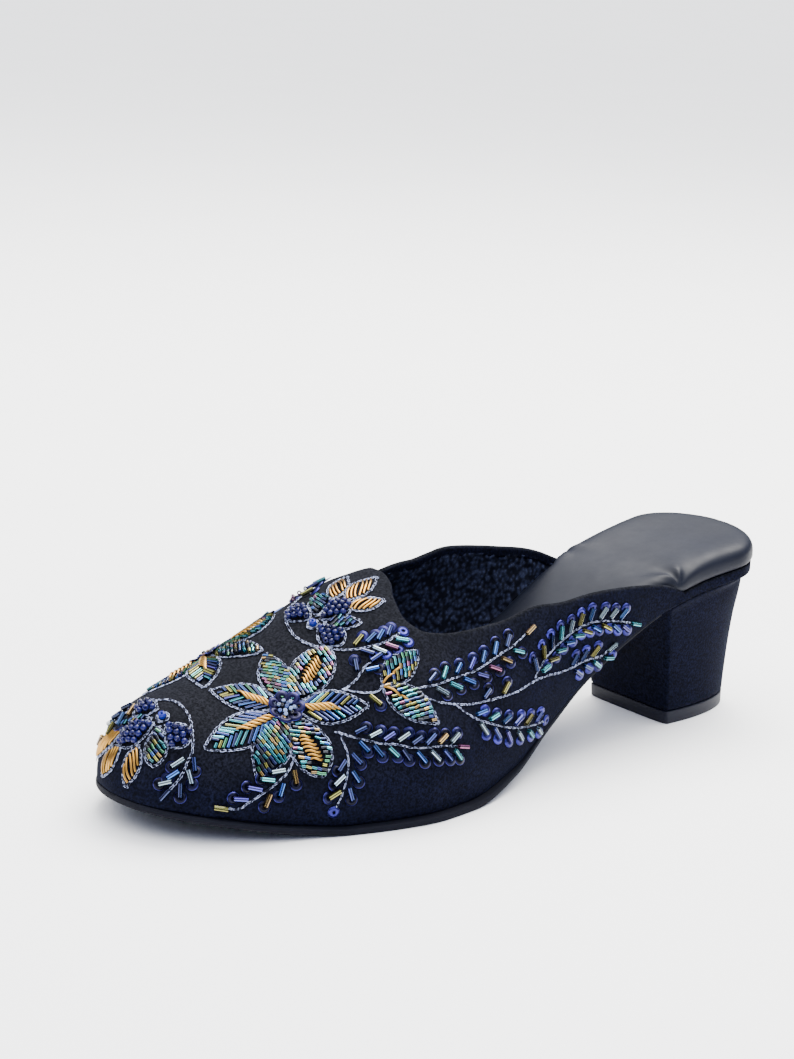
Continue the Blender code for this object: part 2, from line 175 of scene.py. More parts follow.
world = bpy.data.worlds.new("studio_air")
bpy.context.scene.world = world
world.use_nodes = True
air = world.node_tree
direction = node(air, "ShaderNodeSeparateXYZ", {0: node(air, "ShaderNodeTexCoord").outputs["Generated"]})
height = ranged(air, direction.outputs["Z"], 0.22, 0.9, interpolation_type="SMOOTHSTEP")
power = ranged(air, height, 0.0, 1.0, HORIZON_STRENGTH, ZENITH_STRENGTH)
air.links.new(mixed(air, height, tone(HORIZON), tone(ZENITH)), air.nodes["Background"].inputs["Color"])
air.links.new(power, air.nodes["Background"].inputs["Strength"])

lamp("softbox_overhead", (-0.3, 0.55, 1.3), (0, 0, 0.02), 1.2, 1.0, 62, "#fffdf8")
lamp("softbox_toe_side", (-0.7, -1.3, 0.8), (0, 0, 0.03), 1.2, 1.0, 3.5, "#f0f3ff")
lamp("softbox_camera_side", (1.5, -0.4, 1.0), (0, 0, 0.03), 1.5, 1.5, 9, "#c6d2ff")

heel_low, heel_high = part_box("heel")
axis_x = (heel_low[0] + heel_high[0]) / 2
turn_round = math.radians(AZIMUTH)
rise = math.radians(ELEVATION)
back = Vector((math.sin(turn_round) * math.cos(rise), -math.cos(turn_round) * math.cos(rise),
               math.sin(rise)))
stand = Vector((axis_x, 0, HUB_HEIGHT)) + back * DISTANCE
sight = (Vector((axis_x, AIM_AHEAD, AIM_HEIGHT)) - stand).normalized()
level = sight.cross(Vector((0, 0, 1))).normalized()
pose = Matrix((level, level.cross(sight), -sight)).transposed()
pose = pose @ Matrix.Rotation(math.radians(ROLL), 3, "Z")
lens = bpy.data.cameras.new("camera")
lens.lens = LENS
lens.clip_start = 0.05
camera = bpy.data.objects.new("camera", lens)
camera.matrix_world = Matrix.Translation(stand) @ pose.to_4x4()
bpy.context.scene.collection.objects.link(camera)
bpy.context.scene.camera = camera


# ---------------------------------------------------------------- suede upper
# One piece of black goat suede, pulled over the last and cemented under the feather edge.  Its
# top edge is turned over the lining and rolls softly inwards all round the collar.

END_GAP = 0.12 * MM                                 # the solids' last sections stand this far in
HEEL_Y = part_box("midsole")[1][1] + END_GAP          # back of the heel seat
LENGTH = HEEL_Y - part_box("outsole")[0][1] + END_GAP
AXIS_X = axis_x
GAP = 0.3 * MM
WALL = 2.0 * MM             # suede, interlining and lining together
SUEDE = 0.6 * MM
HEEL_ROUND = 19 * MM
TOE_ROUND = 46 * MM
TOE_FORM = (1.94, 2.16)
TOE_DRIFT = -1.6 * MM
DRIFT_START = 150 * MM
TOE_DROP = 17.5 * MM
TUCK = 0.05
TUCK_SINE = 0.35
TURNED_IN = 2.4 * MM        # width of suede that shows inside the collar
LASTED = 1.4 * MM           # width of suede turned under the feather edge
MERGE = 0.02 * MM

# The last: station from the back of the heel seat, half widths at the feather edge, height of
# the bottom, outsole thickness, section height, and how far the crest leans inwards.
S, INNER, OUTER, UNDER, SOLE, CREST, RIDGE = range(7)
LAST = np.array([
    (0, 25.8, 25.8, 51.0, 0.0, 80.0, 3.0),
    (20, 25.8, 26.0, 48.6, 0.0, 80.0, 3.0),
    (45, 25.4, 26.6, 43.6, 0.2, 79.0, 3.5),
    (65, 24.5, 27.6, 35.6, 1.7, 78.5, 4.0),
    (85, 23.0, 29.2, 25.3, 1.8, 76.6, 4.5),
    (105, 23.5, 33.4, 14.0, 1.9, 73.8, 5.0),
    (125, 27.2, 39.8, 4.4, 2.0, 66.1, 5.5),
    (147, 32.8, 45.2, 0.0, 2.0, 61.0, 6.4),
    (162, 36.2, 46.9, 0.0, 2.0, 57.6, 6.9),
    (175, 37.6, 45.2, 0.0, 2.0, 52.0, 6.7),
    (188, 37.8, 42.0, 0.0, 2.0, 45.8, 6.2),
    (205, 37.0, 37.2, 1.8, 2.0, 37.2, 5.3),
    (225, 35.0, 34.8, 5.4, 2.0, 28.4, 4.3),
    (245, 33.0, 33.4, 8.6, 2.0, 21.8, 3.3),
]) * MM

# The collar line on the last: turn (-1 inner feather edge, 0 crest, 1 outer) and station.
COLLAR = np.array([
    (-1.00, 46), (-0.975, 48), (-0.95, 52), (-0.92, 57), (-0.88, 63), (-0.80, 75), (-0.71, 88),
    (-0.59, 103), (-0.45, 119), (-0.34, 133), (-0.28, 146), (-0.22, 152), (-0.13, 150), (-0.04, 147),
    (0.04, 147), (0.12, 148.5), (0.21, 152.5), (0.31, 154.4), (0.38, 152), (0.42, 146),
    (0.47, 136), (0.52, 126), (0.58, 115.5), (0.70, 98.5), (0.79, 81), (0.86, 67),
    (0.895, 59), (0.925, 51.4), (0.954, 45.7), (0.978, 41.6), (1.00, 39.8),
])

# Creases and hand-lasting marks, in millimetres on the chart of station and girth (outer side
# positive): the two ends of each line, its half width, and its height, negative for a trough.
CREASES = [
    (176, 52, 158, 74, 5.0, -0.30), (184, 60, 168, 80, 5.0, 0.22), (170, -44, 158, -62, 5.0, -0.28),
    (150, 38, 132, 58, 4.5, -0.25), (122, 70, 100, 82, 4.0, 0.25), (110, 62, 88, 74, 4.0, -0.22),
    (88, 78, 66, 86, 3.5, 0.22), (128, -46, 106, -60, 4.5, -0.25), (104, -66, 84, -76, 4.0, 0.22),
    (214, 34, 196, 56, 6.0, 0.20), (222, -20, 204, -42, 6.0, 0.20), (236, 12, 228, 30, 4.0, -0.12),
    (206, 58, 190, 66, 3.5, -0.22), (160, 10, 158, 26, 3.5, -0.18), (163, -12, 160, 4, 3.5, -0.16),
]
UNEVEN = 0.10 * MM          # height of the suede's own slow unevenness
UNEVEN_SPAN = 16 * MM
PLEATS = 46                 # small gathers round the toe where the suede is pulled under
PLEAT_HEIGHT = 0.14 * MM
PLEAT_REACH = 5 * MM
PLEAT_START = 196 * MM
PLEAT_FADE = 15 * MM
TOE_HALF = 36 * MM          # half width of the toe, round which they fan out
FLANK_GIRTH = 60            # millimetres from crest to feather edge there, near enough
CREASE_BOW = 0.8            # millimetres that a crease bows sideways at its middle


def smooth(xs, ys, x):
    """Values at x of a curve through the points that never overshoots them."""
    step = np.diff(xs)
    rate = np.diff(ys) / step
    product = rate[:-1] * rate[1:]
    total = np.where(product > 0, rate[:-1] + rate[1:], 1)
    slope = np.concatenate([rate[:1], np.where(product > 0, 2 * product / total, 0), rate[-1:]])
    x = np.clip(x, xs[0], xs[-1])
    i = np.clip(np.searchsorted(xs, x, side="right") - 1, 0, len(step) - 1)
    h = step[i]
    t = (x - xs[i]) / h
    return ((1 + 2 * t) * (1 - t) ** 2 * ys[i] + t * (1 - t) ** 2 * h * slope[i]
            + t * t * (3 - 2 * t) * ys[i + 1] + t * t * (t - 1) * h * slope[i + 1])


def last(column, s):
    return smooth(LAST[:, S], LAST[:, column], s)


def share(value, start, end):
    """0 before start, 1 after end, even between them."""
    return np.clip((value - start) / (end - start), 0, 1)


def ease(value):
    """0 to 1 with flat ends."""
    value = np.clip(value, 0, 1)
    return value * value * (3 - 2 * value)


def closing(s):
    heel = np.minimum(s / HEEL_ROUND, 1)
    toe = share(s, LENGTH - TOE_ROUND, LENGTH)
    inner, outer = TOE_FORM
    return np.sqrt(np.maximum(1 - (1 - heel) ** 2, 0)) * np.maximum(1 - toe ** inner, 0) ** (1 / outer)


def centre_at(s):
    drift = np.maximum(s - DRIFT_START, 0) / (LENGTH - DRIFT_START)
    return AXIS_X + TOE_DRIFT * drift * drift


def edge_at(s, outer):
    """X of the feather edge on the outer or the inner side."""
    half_width = np.where(outer, last(OUTER, s), -last(INNER, s))
    return centre_at(s) + half_width * closing(s)


def feather_at(s):
    return last(UNDER, s) + last(SOLE, s) + GAP


def last_point(s, turn):
    """Places on the last; turn runs from -1, the inner feather edge, to 1, the outer one."""
    angle = (1 - np.abs(turn)) * math.pi / 2
    toe = share(s, LENGTH - TOE_ROUND, LENGTH)
    drop = share(s, LENGTH - TOE_DROP, LENGTH)
    ridge = AXIS_X - last(RIDGE, s)
    ridge = ridge + (centre_at(s) - ridge) * toe * toe
    height = last(CREST, s) * np.sqrt(np.maximum(1 - drop * drop, 0))
    tuck = 1 - TUCK * np.maximum(1 - np.sin(angle) / TUCK_SINE, 0) ** 2
    x = ridge + (edge_at(s, turn >= 0) - ridge) * np.cos(angle) * tuck
    return np.stack([x, HEEL_Y - s + 0 * x, feather_at(s) + height * np.sin(angle)], -1)


# The suede is worked in (w, turn), with w the root of the distance from the toe, because the
# toe's round end is even in w.
def station_of(w):
    return LENGTH - w * w


def root_of(s):
    return np.sqrt(np.maximum(LENGTH - s, 0))


def dot(a, b):
    return (a * b).sum(-1)


def unit(v):
    return v / np.maximum(np.linalg.norm(v, axis=-1, keepdims=True), 1e-12)


def tangents(w, turn):
    """Changes of place with w and with turn, and the outward normal."""
    dw = 0.0003
    dt = 0.003
    w_low = np.maximum(w - dw, 0)
    turn_low = np.maximum(turn - dt, -1)
    turn_high = np.minimum(turn + dt, 1)
    ahead = (last_point(station_of(w + dw), turn) - last_point(station_of(w_low), turn))
    around = last_point(station_of(w), turn_high) - last_point(station_of(w), turn_low)
    ahead = ahead / (w + dw - w_low)[..., None]
    around = around / (turn_high - turn_low)[..., None]
    return ahead, around, unit(np.cross(around, ahead))


GIRTH_TURNS = np.linspace(-1, 1, 401)
GIRTH_ROOTS = np.linspace(0, math.sqrt(LENGTH), 500)
sections = last_point(station_of(GIRTH_ROOTS)[:, None], GIRTH_TURNS[None, :])
girths = np.concatenate([np.zeros((len(GIRTH_ROOTS), 1)),
                         np.linalg.norm(np.diff(sections, axis=1), axis=-1).cumsum(1)], 1)
girths -= girths[:, [len(GIRTH_TURNS) // 2]]        # measured from the crest, outwards positive


def girth_at(w, turn):
    row = w / GIRTH_ROOTS[-1] * (len(GIRTH_ROOTS) - 1)
    column = (turn + 1) / 2 * (len(GIRTH_TURNS) - 1)
    i = np.clip(row.astype(int), 0, len(GIRTH_ROOTS) - 2)
    j = np.clip(column.astype(int), 0, len(GIRTH_TURNS) - 2)
    a = row - i
    b = column - j
    return ((1 - a) * ((1 - b) * girths[i, j] + b * girths[i, j + 1])
            + a * ((1 - b) * girths[i + 1, j] + b * girths[i + 1, j + 1]))


def turn_at(s, g):
    """Turn of the places at station s and girth g."""
    rows = root_of(s) / GIRTH_ROOTS[-1] * (len(GIRTH_ROOTS) - 1)
    turns = []
    for row, girth in zip(np.atleast_1d(rows), np.atleast_1d(g)):
        i = min(int(row), len(GIRTH_ROOTS) - 2)
        line = girths[i] + (girths[i + 1] - girths[i]) * (row - i)
        turns.append(np.interp(girth, line, GIRTH_TURNS))
    return np.array(turns)


def relief(w, turn):
    """Height of the creases, gathers and unevenness over the last."""
    s = station_of(w)
    g = girth_at(w, turn)
    height = np.zeros_like(s)
    for s0, g0, s1, g1, half_width, depth in CREASES:
        line = np.array([s1 - s0, g1 - g0])
        reach = (((s / MM - s0) * line[0] + (g / MM - g0) * line[1]) / dot(line, line))
        off = ((s / MM - s0) * line[1] - (g / MM - g0) * line[0]) / np.linalg.norm(line)
        bow = 4 * reach * (1 - reach)
        ends = ease(share(reach, -0.35, 0.25)) * ease(share(reach, 1.35, 0.75))
        height += depth * MM * ends * np.exp(-((off - CREASE_BOW * bow) / half_width) ** 2)
    across = 2 * math.pi / UNEVEN_SPAN
    height += UNEVEN * np.sin(across * s + 1.3 * np.sin(across * 0.6 * g)) * np.sin(across * 0.8 * g + 0.7)
    off_feather = (1 - np.abs(turn)) * FLANK_GIRTH * MM
    gather = ease(share(s, PLEAT_START, PLEAT_START + PLEAT_FADE)) * np.exp(-(off_feather / PLEAT_REACH) ** 2)
    around_toe = np.arctan2(s - PLEAT_START, np.sign(turn) * TOE_HALF)
    height += PLEAT_HEIGHT * gather * np.sin(PLEATS * around_toe + 2 * np.sin(5 * around_toe))
    return height


def on_suede(w, turn, lift=0.0):
    """Places that stand lift above the suede, with the outward normals there."""
    out = tangents(w, turn)[2]
    height = relief(w, turn) + lift
    return last_point(station_of(w), turn) + out * height[..., None], out


def grid_faces(rows, columns, first=0, ring=False):
    """Quads of a grid stored row after row; ring joins the last column to the first."""
    faces = []
    for i in range(rows - 1):
        for j in range(columns if ring else columns - 1):
            k = (j + 1) % columns
            a = first + i * columns
            faces.append((a + j, a + k, a + columns + k, a + columns + j))
    return faces


def collar_line(count):
    """Places evenly along the collar: their w and turn, and the directions over the suede
    away from the opening."""
    fine = np.linspace(-1, 1, 4001)
    edge = last_point(smooth(COLLAR[:, 0], COLLAR[:, 1] * MM, fine), fine)
    gone = np.concatenate([[0], np.linalg.norm(np.diff(edge, axis=0), axis=1).cumsum()])
    turn = np.interp(np.linspace(0, gone[-1], count), gone, fine)
    s = smooth(COLLAR[:, 0], COLLAR[:, 1] * MM, turn)
    w = root_of(s)
    out = tangents(w, turn)[2]
    run = unit(np.gradient(last_point(s, turn), axis=0))
    return w, turn, unit(np.cross(run, out))


def shifted(w, turn, aim, distance):
    """The place a short distance away over the last."""
    along, around, _ = tangents(w, turn)
    a, b, c = dot(along, along), dot(along, around), dot(around, around)
    p = dot(along, aim) * distance
    q = dot(around, aim) * distance
    bottom = a * c - b * b
    return w + (c * p - b * q) / bottom, np.clip(turn + (a * q - b * p) / bottom, -1, 1)


def shell_grid(start_w, start_turn, rows, end_w=0.0):
    """w and turn of rows that run from a line near the collar to the toe."""
    u = np.linspace(0, 1, rows)[:, None]
    start_s = station_of(start_w)[None, :]
    end_s = LENGTH - end_w * end_w
    s = start_s + (end_s - start_s) * np.sin(math.pi / 2 * u)
    w = np.sqrt(np.maximum(LENGTH - s, 0))
    return w, np.broadcast_to(start_turn[None, :], w.shape)


COLUMNS = 321
ROWS = 100
RIM_STEPS = 7
edge_w, edge_turn, away = collar_line(COLUMNS)
rim = WALL / 2
rim_w, rim_turn = shifted(edge_w, edge_turn, away, rim)
rim_turn = np.maximum.accumulate(rim_turn)
first_row, out = on_suede(rim_w, rim_turn)
rows = []
for depth in np.linspace(TURNED_IN, 0.8 * MM, 3):
    rows.append(first_row - out * WALL + away * depth)
for angle in np.linspace(math.pi, 0, RIM_STEPS, endpoint=False):
    rows.append(first_row + out * rim * (math.cos(angle) - 1) - away * rim * math.sin(angle))
w, turn = shell_grid(rim_w, rim_turn, ROWS)
rows.extend(on_suede(w, turn)[0])
points = np.array(rows)
inward = np.zeros((len(points), 2, 3))
for k, side in ((0, -1), (-1, 1)):
    run = np.gradient(points[:, k], axis=0)
    inward[:, k] = unit(np.stack([run[:, 1], -run[:, 0], 0 * run[:, 0]], -1)) * side
    inward[:RIM_STEPS + 4, k] = inward[RIM_STEPS + 4, k]
margin = [points[:, 0] + inward[:, 0] * LASTED, points[:, -1] + inward[:, 1] * LASTED]
points = np.concatenate([margin[0][:, None], points, margin[1][:, None]], 1)

# Goat suede: no gloss, and a short nap in cloudy patches, with a grain of single fibres; the
# fibres are drawn twice as coarse as they are, so that they show.  Its colour carries painted
# light and shade: warm charcoal where it faces up, navy-black where it turns away.
NAP_PATCH = 13 * MM
NAP_FIBRE = 0.75 * MM
suede, tree, shader, place = material("black_goat_suede", Roughness=0.95, Sheen_Weight=0.04,
                                      Sheen_Roughness=0.35, Sheen_Tint=tone("#8492c4"))
shader.inputs["Specular IOR Level"].default_value = 0.06
patch = cloudy(tree, place, NAP_PATCH, Detail=3.0)
fibre = cloudy(tree, place, NAP_FIBRE, Detail=4.0, Roughness=0.7)
grain = reckoned(tree, "MULTIPLY", ranged(tree, fibre, 0.41, 0.62), ranged(tree, patch, 0.3, 0.7, 0.55, 1.0))
# Painted light and shade: the colour turns from navy-black on faces turned away to warm charcoal on faces
# turned up.
painted_top_light = ranged(tree, facing_up(tree), 0.15, 0.85)
sunk_fibres_painted_light = mixed(tree, painted_top_light, tone("#010208"), tone("#040509"))
raised_fibres_painted_light = mixed(tree, painted_top_light, tone("#0f1226"), tone("#1e1f25"))
colour_with(tree, shader, mixed(tree, grain, sunk_fibres_painted_light, raised_fibres_painted_light))
emboss(tree, shader, fibre, 0.6, 0.25 * MM)


def thicken(piece, thickness):
    mod = piece.modifiers.new("thickness", "SOLIDIFY")
    mod.thickness = thickness
    mod.offset = -1
    mod.use_rim = True


def merge(piece, closed=False):
    """Joins points that lie together, and turns the faces of a closed body outwards."""
    bm = bmesh.new()
    bm.from_mesh(piece.data)
    bmesh.ops.remove_doubles(bm, verts=bm.verts, dist=MERGE)
    if closed:
        bmesh.ops.recalc_face_normals(bm, faces=bm.faces)
    bm.to_mesh(piece.data)
    bm.free()


shape = points.shape
upper = mesh_piece("upper_suede", points.reshape(-1, 3),
                   [face[::-1] for face in grid_faces(shape[0], shape[1])], suede)
merge(upper)
thicken(upper, SUEDE)
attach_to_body(upper, "root")
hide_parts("upper")


# ---------------------------------------------------------------- fleece lining
# Black knitted fleece behind the suede: a short curly pile, cemented to the inside and caught
# under the turned-in edge.  The curls are real waves of the surface near the opening.

LINING_COLUMNS = 300
LINING_ROWS = 112
LINING_THICK = 0.5 * MM
LINING_START = 1.7 * MM     # first row, behind the turned-in suede
LINING_BEHIND = 1.2 * MM    # depth of that row below the suede's outside
LINING_OUT = 1.95 * MM      # and of the free surface
CURL_SIZE, CURL_HEIGHT = 1.7 * MM, 0.4 * MM
TUFT_SIZE, TUFT_HEIGHT = 0.95 * MM, 0.22 * MM
LINING_END = 0.035          # w of the last row, just short of the toe tip


def rippled(points, out, *waves):
    """Points moved along out by sums of noise; each wave is a size and a height."""
    flat = points.reshape(-1, 3)
    height = np.zeros(len(flat))
    for size, tall in waves:
        height += [tall * noise.noise(Vector(point) / size) for point in flat]
    return points + out * height.reshape(points.shape[:-1])[..., None]


line_w, line_turn, line_away = collar_line(LINING_COLUMNS)
start_w, start_turn = shifted(line_w, line_turn, line_away, LINING_START)
start_turn = np.maximum.accumulate(start_turn)
u = np.linspace(0, 1, LINING_ROWS)[:, None] ** 2.1          # rows lie close near the opening
s = station_of(start_w)[None, :] + (LENGTH - LINING_END ** 2 - station_of(start_w)[None, :]) * u
w, turn = root_of(s), np.broadcast_to(start_turn, s.shape)
base, out = on_suede(w, turn)
gone = np.linalg.norm(base - base[0], axis=-1)
sunk = LINING_BEHIND + (LINING_OUT - LINING_BEHIND) * ease(share(gone, 0.4 * MM, 1.2 * MM))
points = base - out * sunk[..., None]
points = rippled(points, -out, (CURL_SIZE, CURL_HEIGHT), (TUFT_SIZE, TUFT_HEIGHT))

# Brushed fleece: matt, with a painted bluish-grey highlight on the tips of its curls.
fleece, tree, shader, place = material("black_curly_fleece", Roughness=1.0, Sheen_Weight=0.08,
                                       Sheen_Roughness=0.6, Sheen_Tint=tone("#8f9ac4"))
shader.inputs["Specular IOR Level"].default_value = 0.06
curls = node(tree, "ShaderNodeTexVoronoi", {"Vector": place, "Scale": 1 / (1.5 * MM)},
             feature="SMOOTH_F1")
tips = ranged(tree, curls.outputs["Distance"], 0.05, 0.55, 1.0, 0.0)
# Painted highlight: the curls' tips are lightened in cloudy spots, and the same spots are bumped up.
painted_tip_light = reckoned(tree, "MULTIPLY", tips, cloudy(tree, place, 0.5 * MM, Detail=3.0))
colour_with(tree, shader, mixed(tree, painted_tip_light, tone("#010106"), tone("#444c6a")))
emboss(tree, shader, painted_tip_light, 0.9, 0.4 * MM)

lining = mesh_piece("fleece_lining", points.reshape(-1, 3),
                    grid_faces(LINING_ROWS, LINING_COLUMNS), fleece)
thicken(lining, LINING_THICK)
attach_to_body(lining, "root")
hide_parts("upper")


# ---------------------------------------------------------------- lasting board
# A stiff board under the foot.  Round the heel seat its edge shows, wrapped in the same suede
# as the upper; ahead of the wing tips it is hidden inside the shoe.

BOARD, PAD_HIGH = 1, 2
LAYERS = np.array([
    (0, 3.3, 7.4), (25, 3.3, 7.4), (50, 3.0, 7.0), (70, 2.4, 5.6), (100, 2.2, 3.8),
    (130, 2.0, 3.0), (245, 2.0, 3.0),
]) * MM
WALL_ROOM = 3.0 * MM
WING_TIP = {1: 43.4 * MM, -1: 49.4 * MM}
BOARD_STEP = 1.4 * MM
INSOLE_TOE = 6 * MM
BOARD_SECTIONS = 130
BOARD_ROUND = 0.45 * MM     # radius of the wrapped edge
BAND_PROUD = 0.35 * MM      # it stands this far over the wing's suede where they meet
BAND_SINK = 1.6 * MM        # and then slips under it
DRAW_IN = 14 * MM, 36 * MM  # the edge of the seat draws in with the wing's foot between these


def layer(column, s):
    return smooth(LAYERS[:, 0], LAYERS[:, column], s)


def inside(s, side, run):
    """X of a bottom layer's edge: flush with the upper behind the wing tips, and clear of the
    wall ahead of them; run is the length over which it steps in."""
    ahead = ease((s - WING_TIP[side] + run) / run)
    half_width = last(OUTER if side > 0 else INNER, s)
    half_width = half_width - ahead * (TUCK * (half_width + last(RIDGE, s)) + WALL_ROOM)
    return centre_at(s) + side * half_width * closing(s * LENGTH / (LENGTH - INSOLE_TOE * ahead))


def band_edge(s, side):
    """X of the wrapped edge: flush with the seat at the back, drawn in with the wing's foot,
    then under the wing."""
    edge = edge_at(s, side > 0)
    reach = abs(edge - AXIS_X + last(RIDGE, s))
    drawn = TUCK * reach * ease(share(s, *DRAW_IN)) - BAND_PROUD
    sunk = BAND_SINK * ease(share(s, WING_TIP[side] + 1 * MM, WING_TIP[side] + 9 * MM))
    wing = edge - side * (drawn + sunk)
    hidden = ease(share(s, WING_TIP[side] + 8 * MM, WING_TIP[side] + 15 * MM))
    return wing + (inside(s, side, BOARD_STEP) - wing) * hidden


def sections_between(start, end, count):
    """Stations from start to end, close together where the outline rounds off."""
    middle = (start + end) / 2
    reach = (end - start) / 2 - END_GAP
    return middle - reach * np.cos(np.pi * np.arange(count) / (count - 1))


def loft(name, rings, mat):
    """Closed body through rings of equal length, closed at both ends by fans."""
    rings = np.array(rings)
    count, size = rings.shape[:2]
    points = list(rings.reshape(-1, 3)) + [rings[0].mean(0), rings[-1].mean(0)]
    faces = grid_faces(count, size, ring=True)
    for j in range(size):
        k = (j + 1) % size
        faces.append((k, j, len(points) - 2))
        faces.append(((count - 1) * size + j, (count - 1) * size + k, len(points) - 1))
    piece = mesh_piece(name, points, faces, mat)
    merge(piece, closed=True)
    return piece


def rounded_band(inner, outer, y, low, high, radius, steps=5):
    """Ring of a flat band whose two edges are rounded top and bottom."""
    ring = []
    corners = ((outer - radius, low + radius, -90), (outer - radius, high - radius, 0),
               (inner + radius, high - radius, 90), (inner + radius, low + radius, 180))
    for x, z, first in corners:
        for k in range(steps):
            angle = math.radians(first + 90 * k / (steps - 1))
            ring.append((x + radius * math.cos(angle), y, z + radius * math.sin(angle)))
    return ring


rings = []
end = LENGTH - INSOLE_TOE
for s in np.sort(np.concatenate([sections_between(0, end, BOARD_SECTIONS),
                                 [tip - BOARD_STEP for tip in WING_TIP.values()], list(WING_TIP.values())])):
    low = float(feather_at(s))
    high = low + float(layer(BOARD, s))
    inner, outer = float(band_edge(s, -1)), float(band_edge(s, 1))
    radius = min(BOARD_ROUND, (high - low) / 2.2, (outer - inner) / 2.2)
    rings.append(rounded_band(inner, outer, HEEL_Y - s, low, high, radius))
band = loft("seat_band", rings, suede)
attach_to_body(band, "root")
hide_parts("midsole")


# ---------------------------------------------------------------- padded insole
# Smooth grey-black leather sheet over a foam pad: a thick rolled edge round the heel seat,
# folded under, and gathered into a pucker where the outer wing of the upper meets it.

PAD_OVER = 1.5 * MM, 4.5 * MM       # from before to behind the wing's edge the pad draws in
PAD_ROOM = 2.3 * MM         # the wall and the gap beside it
INSOLE_ROLL = 7.5 * MM
PAD_PROUD = 0.5 * MM        # how far the sheet overhangs the band
ROLL_FOOT = 0.15
ROLL_LOW = 0.16
ROLL_FORM = 3.6, 0.4       # how full the rolled edge is, and how much fuller on the inner side
INSOLE_SECTIONS = 240
TOP_POINTS = 90
PUCKERS = [      # station, side, reach, height, folds, and the angle the folds fan about
    (45.5 * MM, 1, 11 * MM, 0.75 * MM, 5.0, 55),
    (51.0 * MM, -1, 8 * MM, 0.40 * MM, 4.0, 55),
]
PUCKER_SECTIONS = np.arange(36, 66, 0.6) * MM   # more sections where the sheet is gathered
HOLLOW_AHEAD = 2 * MM       # each pucker's hollow: its place, length, width, and share of the height
HOLLOW_LONG, HOLLOW_WIDE = 3.4 * MM, 2.6 * MM
HOLLOW_DEEP = 1.9
FOOT_BED = 0.5 * MM         # how far the heel has pressed the pad in
BED_HALF = 15 * MM
BED_MIDDLE, BED_REACH = 28 * MM, 20 * MM
BACK_SHIFT = 0.3 * MM       # the pad overhangs a little more at the back
SHIFT_REACH = 30 * MM


def pad_edge(s, side):
    """X of the pad's edge where no wing stands beside it."""
    reach = abs(edge_at(s, side > 0) - AXIS_X + last(RIDGE, s))
    drawn = TUCK * reach * ease(share(s, *DRAW_IN)) - PAD_PROUD * closing(s)
    return edge_at(s, side > 0) - side * drawn


def distance_from(outline, points):
    """How far flat points lie from a closed outline."""
    step = np.roll(outline, -1, 0) - outline
    gap = points[:, None] - outline
    along = np.clip((gap * step).sum(-1) / (step ** 2).sum(-1), 0, 1)
    return np.linalg.norm(gap - along[..., None] * step, axis=-1).min(1)


rings = []
marks = np.sort(np.concatenate([sections_between(0, end, INSOLE_SECTIONS), PUCKER_SECTIONS]))
floor_of = np.array([float(feather_at(s) + layer(BOARD, s)) + GAP for s in marks])
thick_of = np.array([float(layer(PAD_HIGH, s)) for s in marks])
for s, low, thick in zip(marks, floor_of, thick_of):
    inner, outer = float(pad_edge(s, -1)), float(pad_edge(s, 1))
    tuck = min(ROLL_FOOT * thick, (outer - inner) * 0.1)
    ring = [(inner + tuck, low), (outer - tuck, low), (outer - tuck * 0.4, low + thick * 0.06)]
    for u in np.linspace(0, math.pi, TOP_POINTS):
        ring.append(((outer + inner) / 2 + (outer - inner) / 2 * math.cos(u), low + thick * ROLL_LOW))
    ring.append((inner + tuck * 0.4, low + thick * 0.06))
    rings.append([(x, HEEL_Y - s, z) for x, z in ring])
rings = np.array(rings)
plan = np.array([(float(pad_edge(s, 1)), HEEL_Y - s) for s in marks]
                + [(float(pad_edge(s, -1)), HEEL_Y - s) for s in marks[::-1]])
top = rings[:, 3:3 + TOP_POINTS]
from_edge = np.array([distance_from(plan, ring[:, :2]) for ring in top])
floor_of, thick_of = floor_of[:, None], thick_of[:, None]
roll = np.minimum(from_edge / np.minimum(INSOLE_ROLL, thick_of * 1.1), 1)
form = ROLL_FORM[0] - ROLL_FORM[1] * np.clip((top[..., 0] - AXIS_X) / (18 * MM), -1, 1)
top[..., 2] += thick_of * (1 - ROLL_LOW) * (1 - (1 - roll) ** form) ** (1 / form)
lifted = share(rings[..., 2] - floor_of, 0.15 * thick_of, 0.6 * thick_of)
s_of = HEEL_Y - rings[..., 1]
for at, side, reach, tall, folds, lean in PUCKERS:
    edge = float(pad_edge(at, side))
    ahead = s_of - at
    inwards = (edge - rings[..., 0]) * side
    r = np.hypot(ahead, inwards)
    angle = np.arctan2(inwards, ahead)
    fade = np.exp(-(r / reach) ** 1.5) * ease(share(r, 0, 2.5 * MM))
    fan = np.cos(folds * (angle - math.radians(lean)) + 0.9 * r / reach)
    rings[..., 2] += tall * lifted * fade * fan
    hollow = np.exp(-((ahead - HOLLOW_AHEAD) / HOLLOW_LONG) ** 2 - (inwards / HOLLOW_WIDE) ** 2)
    rings[..., 2] -= HOLLOW_DEEP * tall * lifted * hollow
middle = (rings[..., 0] - AXIS_X) / BED_HALF
rings[..., 2] -= FOOT_BED * lifted * np.exp(-middle ** 4) * np.exp(-((s_of - BED_MIDDLE) / BED_REACH) ** 4)

# Beside the wings the pad draws in behind the wall, and above their low ends it swells over.
side = np.where(rings[..., 0] > centre_at(s_of), 1.0, -1.0)
above = np.maximum(rings[..., 2] - feather_at(s_of), 0)
turn = side * (1 - np.arcsin(np.clip(above / last(CREST, s_of), 0, 1)) / (math.pi / 2))
wing = smooth(COLLAR[:, 0], COLLAR[:, 1] * MM, turn)
covered = ease((s_of - wing + PAD_OVER[0]) / sum(PAD_OVER))
full = abs(np.where(side > 0, pad_edge(s_of, 1), pad_edge(s_of, -1)) - centre_at(s_of))
room = abs(last_point(s_of, turn)[..., 0] - centre_at(s_of)) - PAD_ROOM
toe_shape = closing(s_of * LENGTH / (LENGTH - INSOLE_TOE)) / np.maximum(closing(s_of), 0.01)
room = np.minimum(room, full * toe_shape)
rings[..., 0] = centre_at(s_of) + (rings[..., 0] - centre_at(s_of)) * (1 + (room / full - 1) * covered)
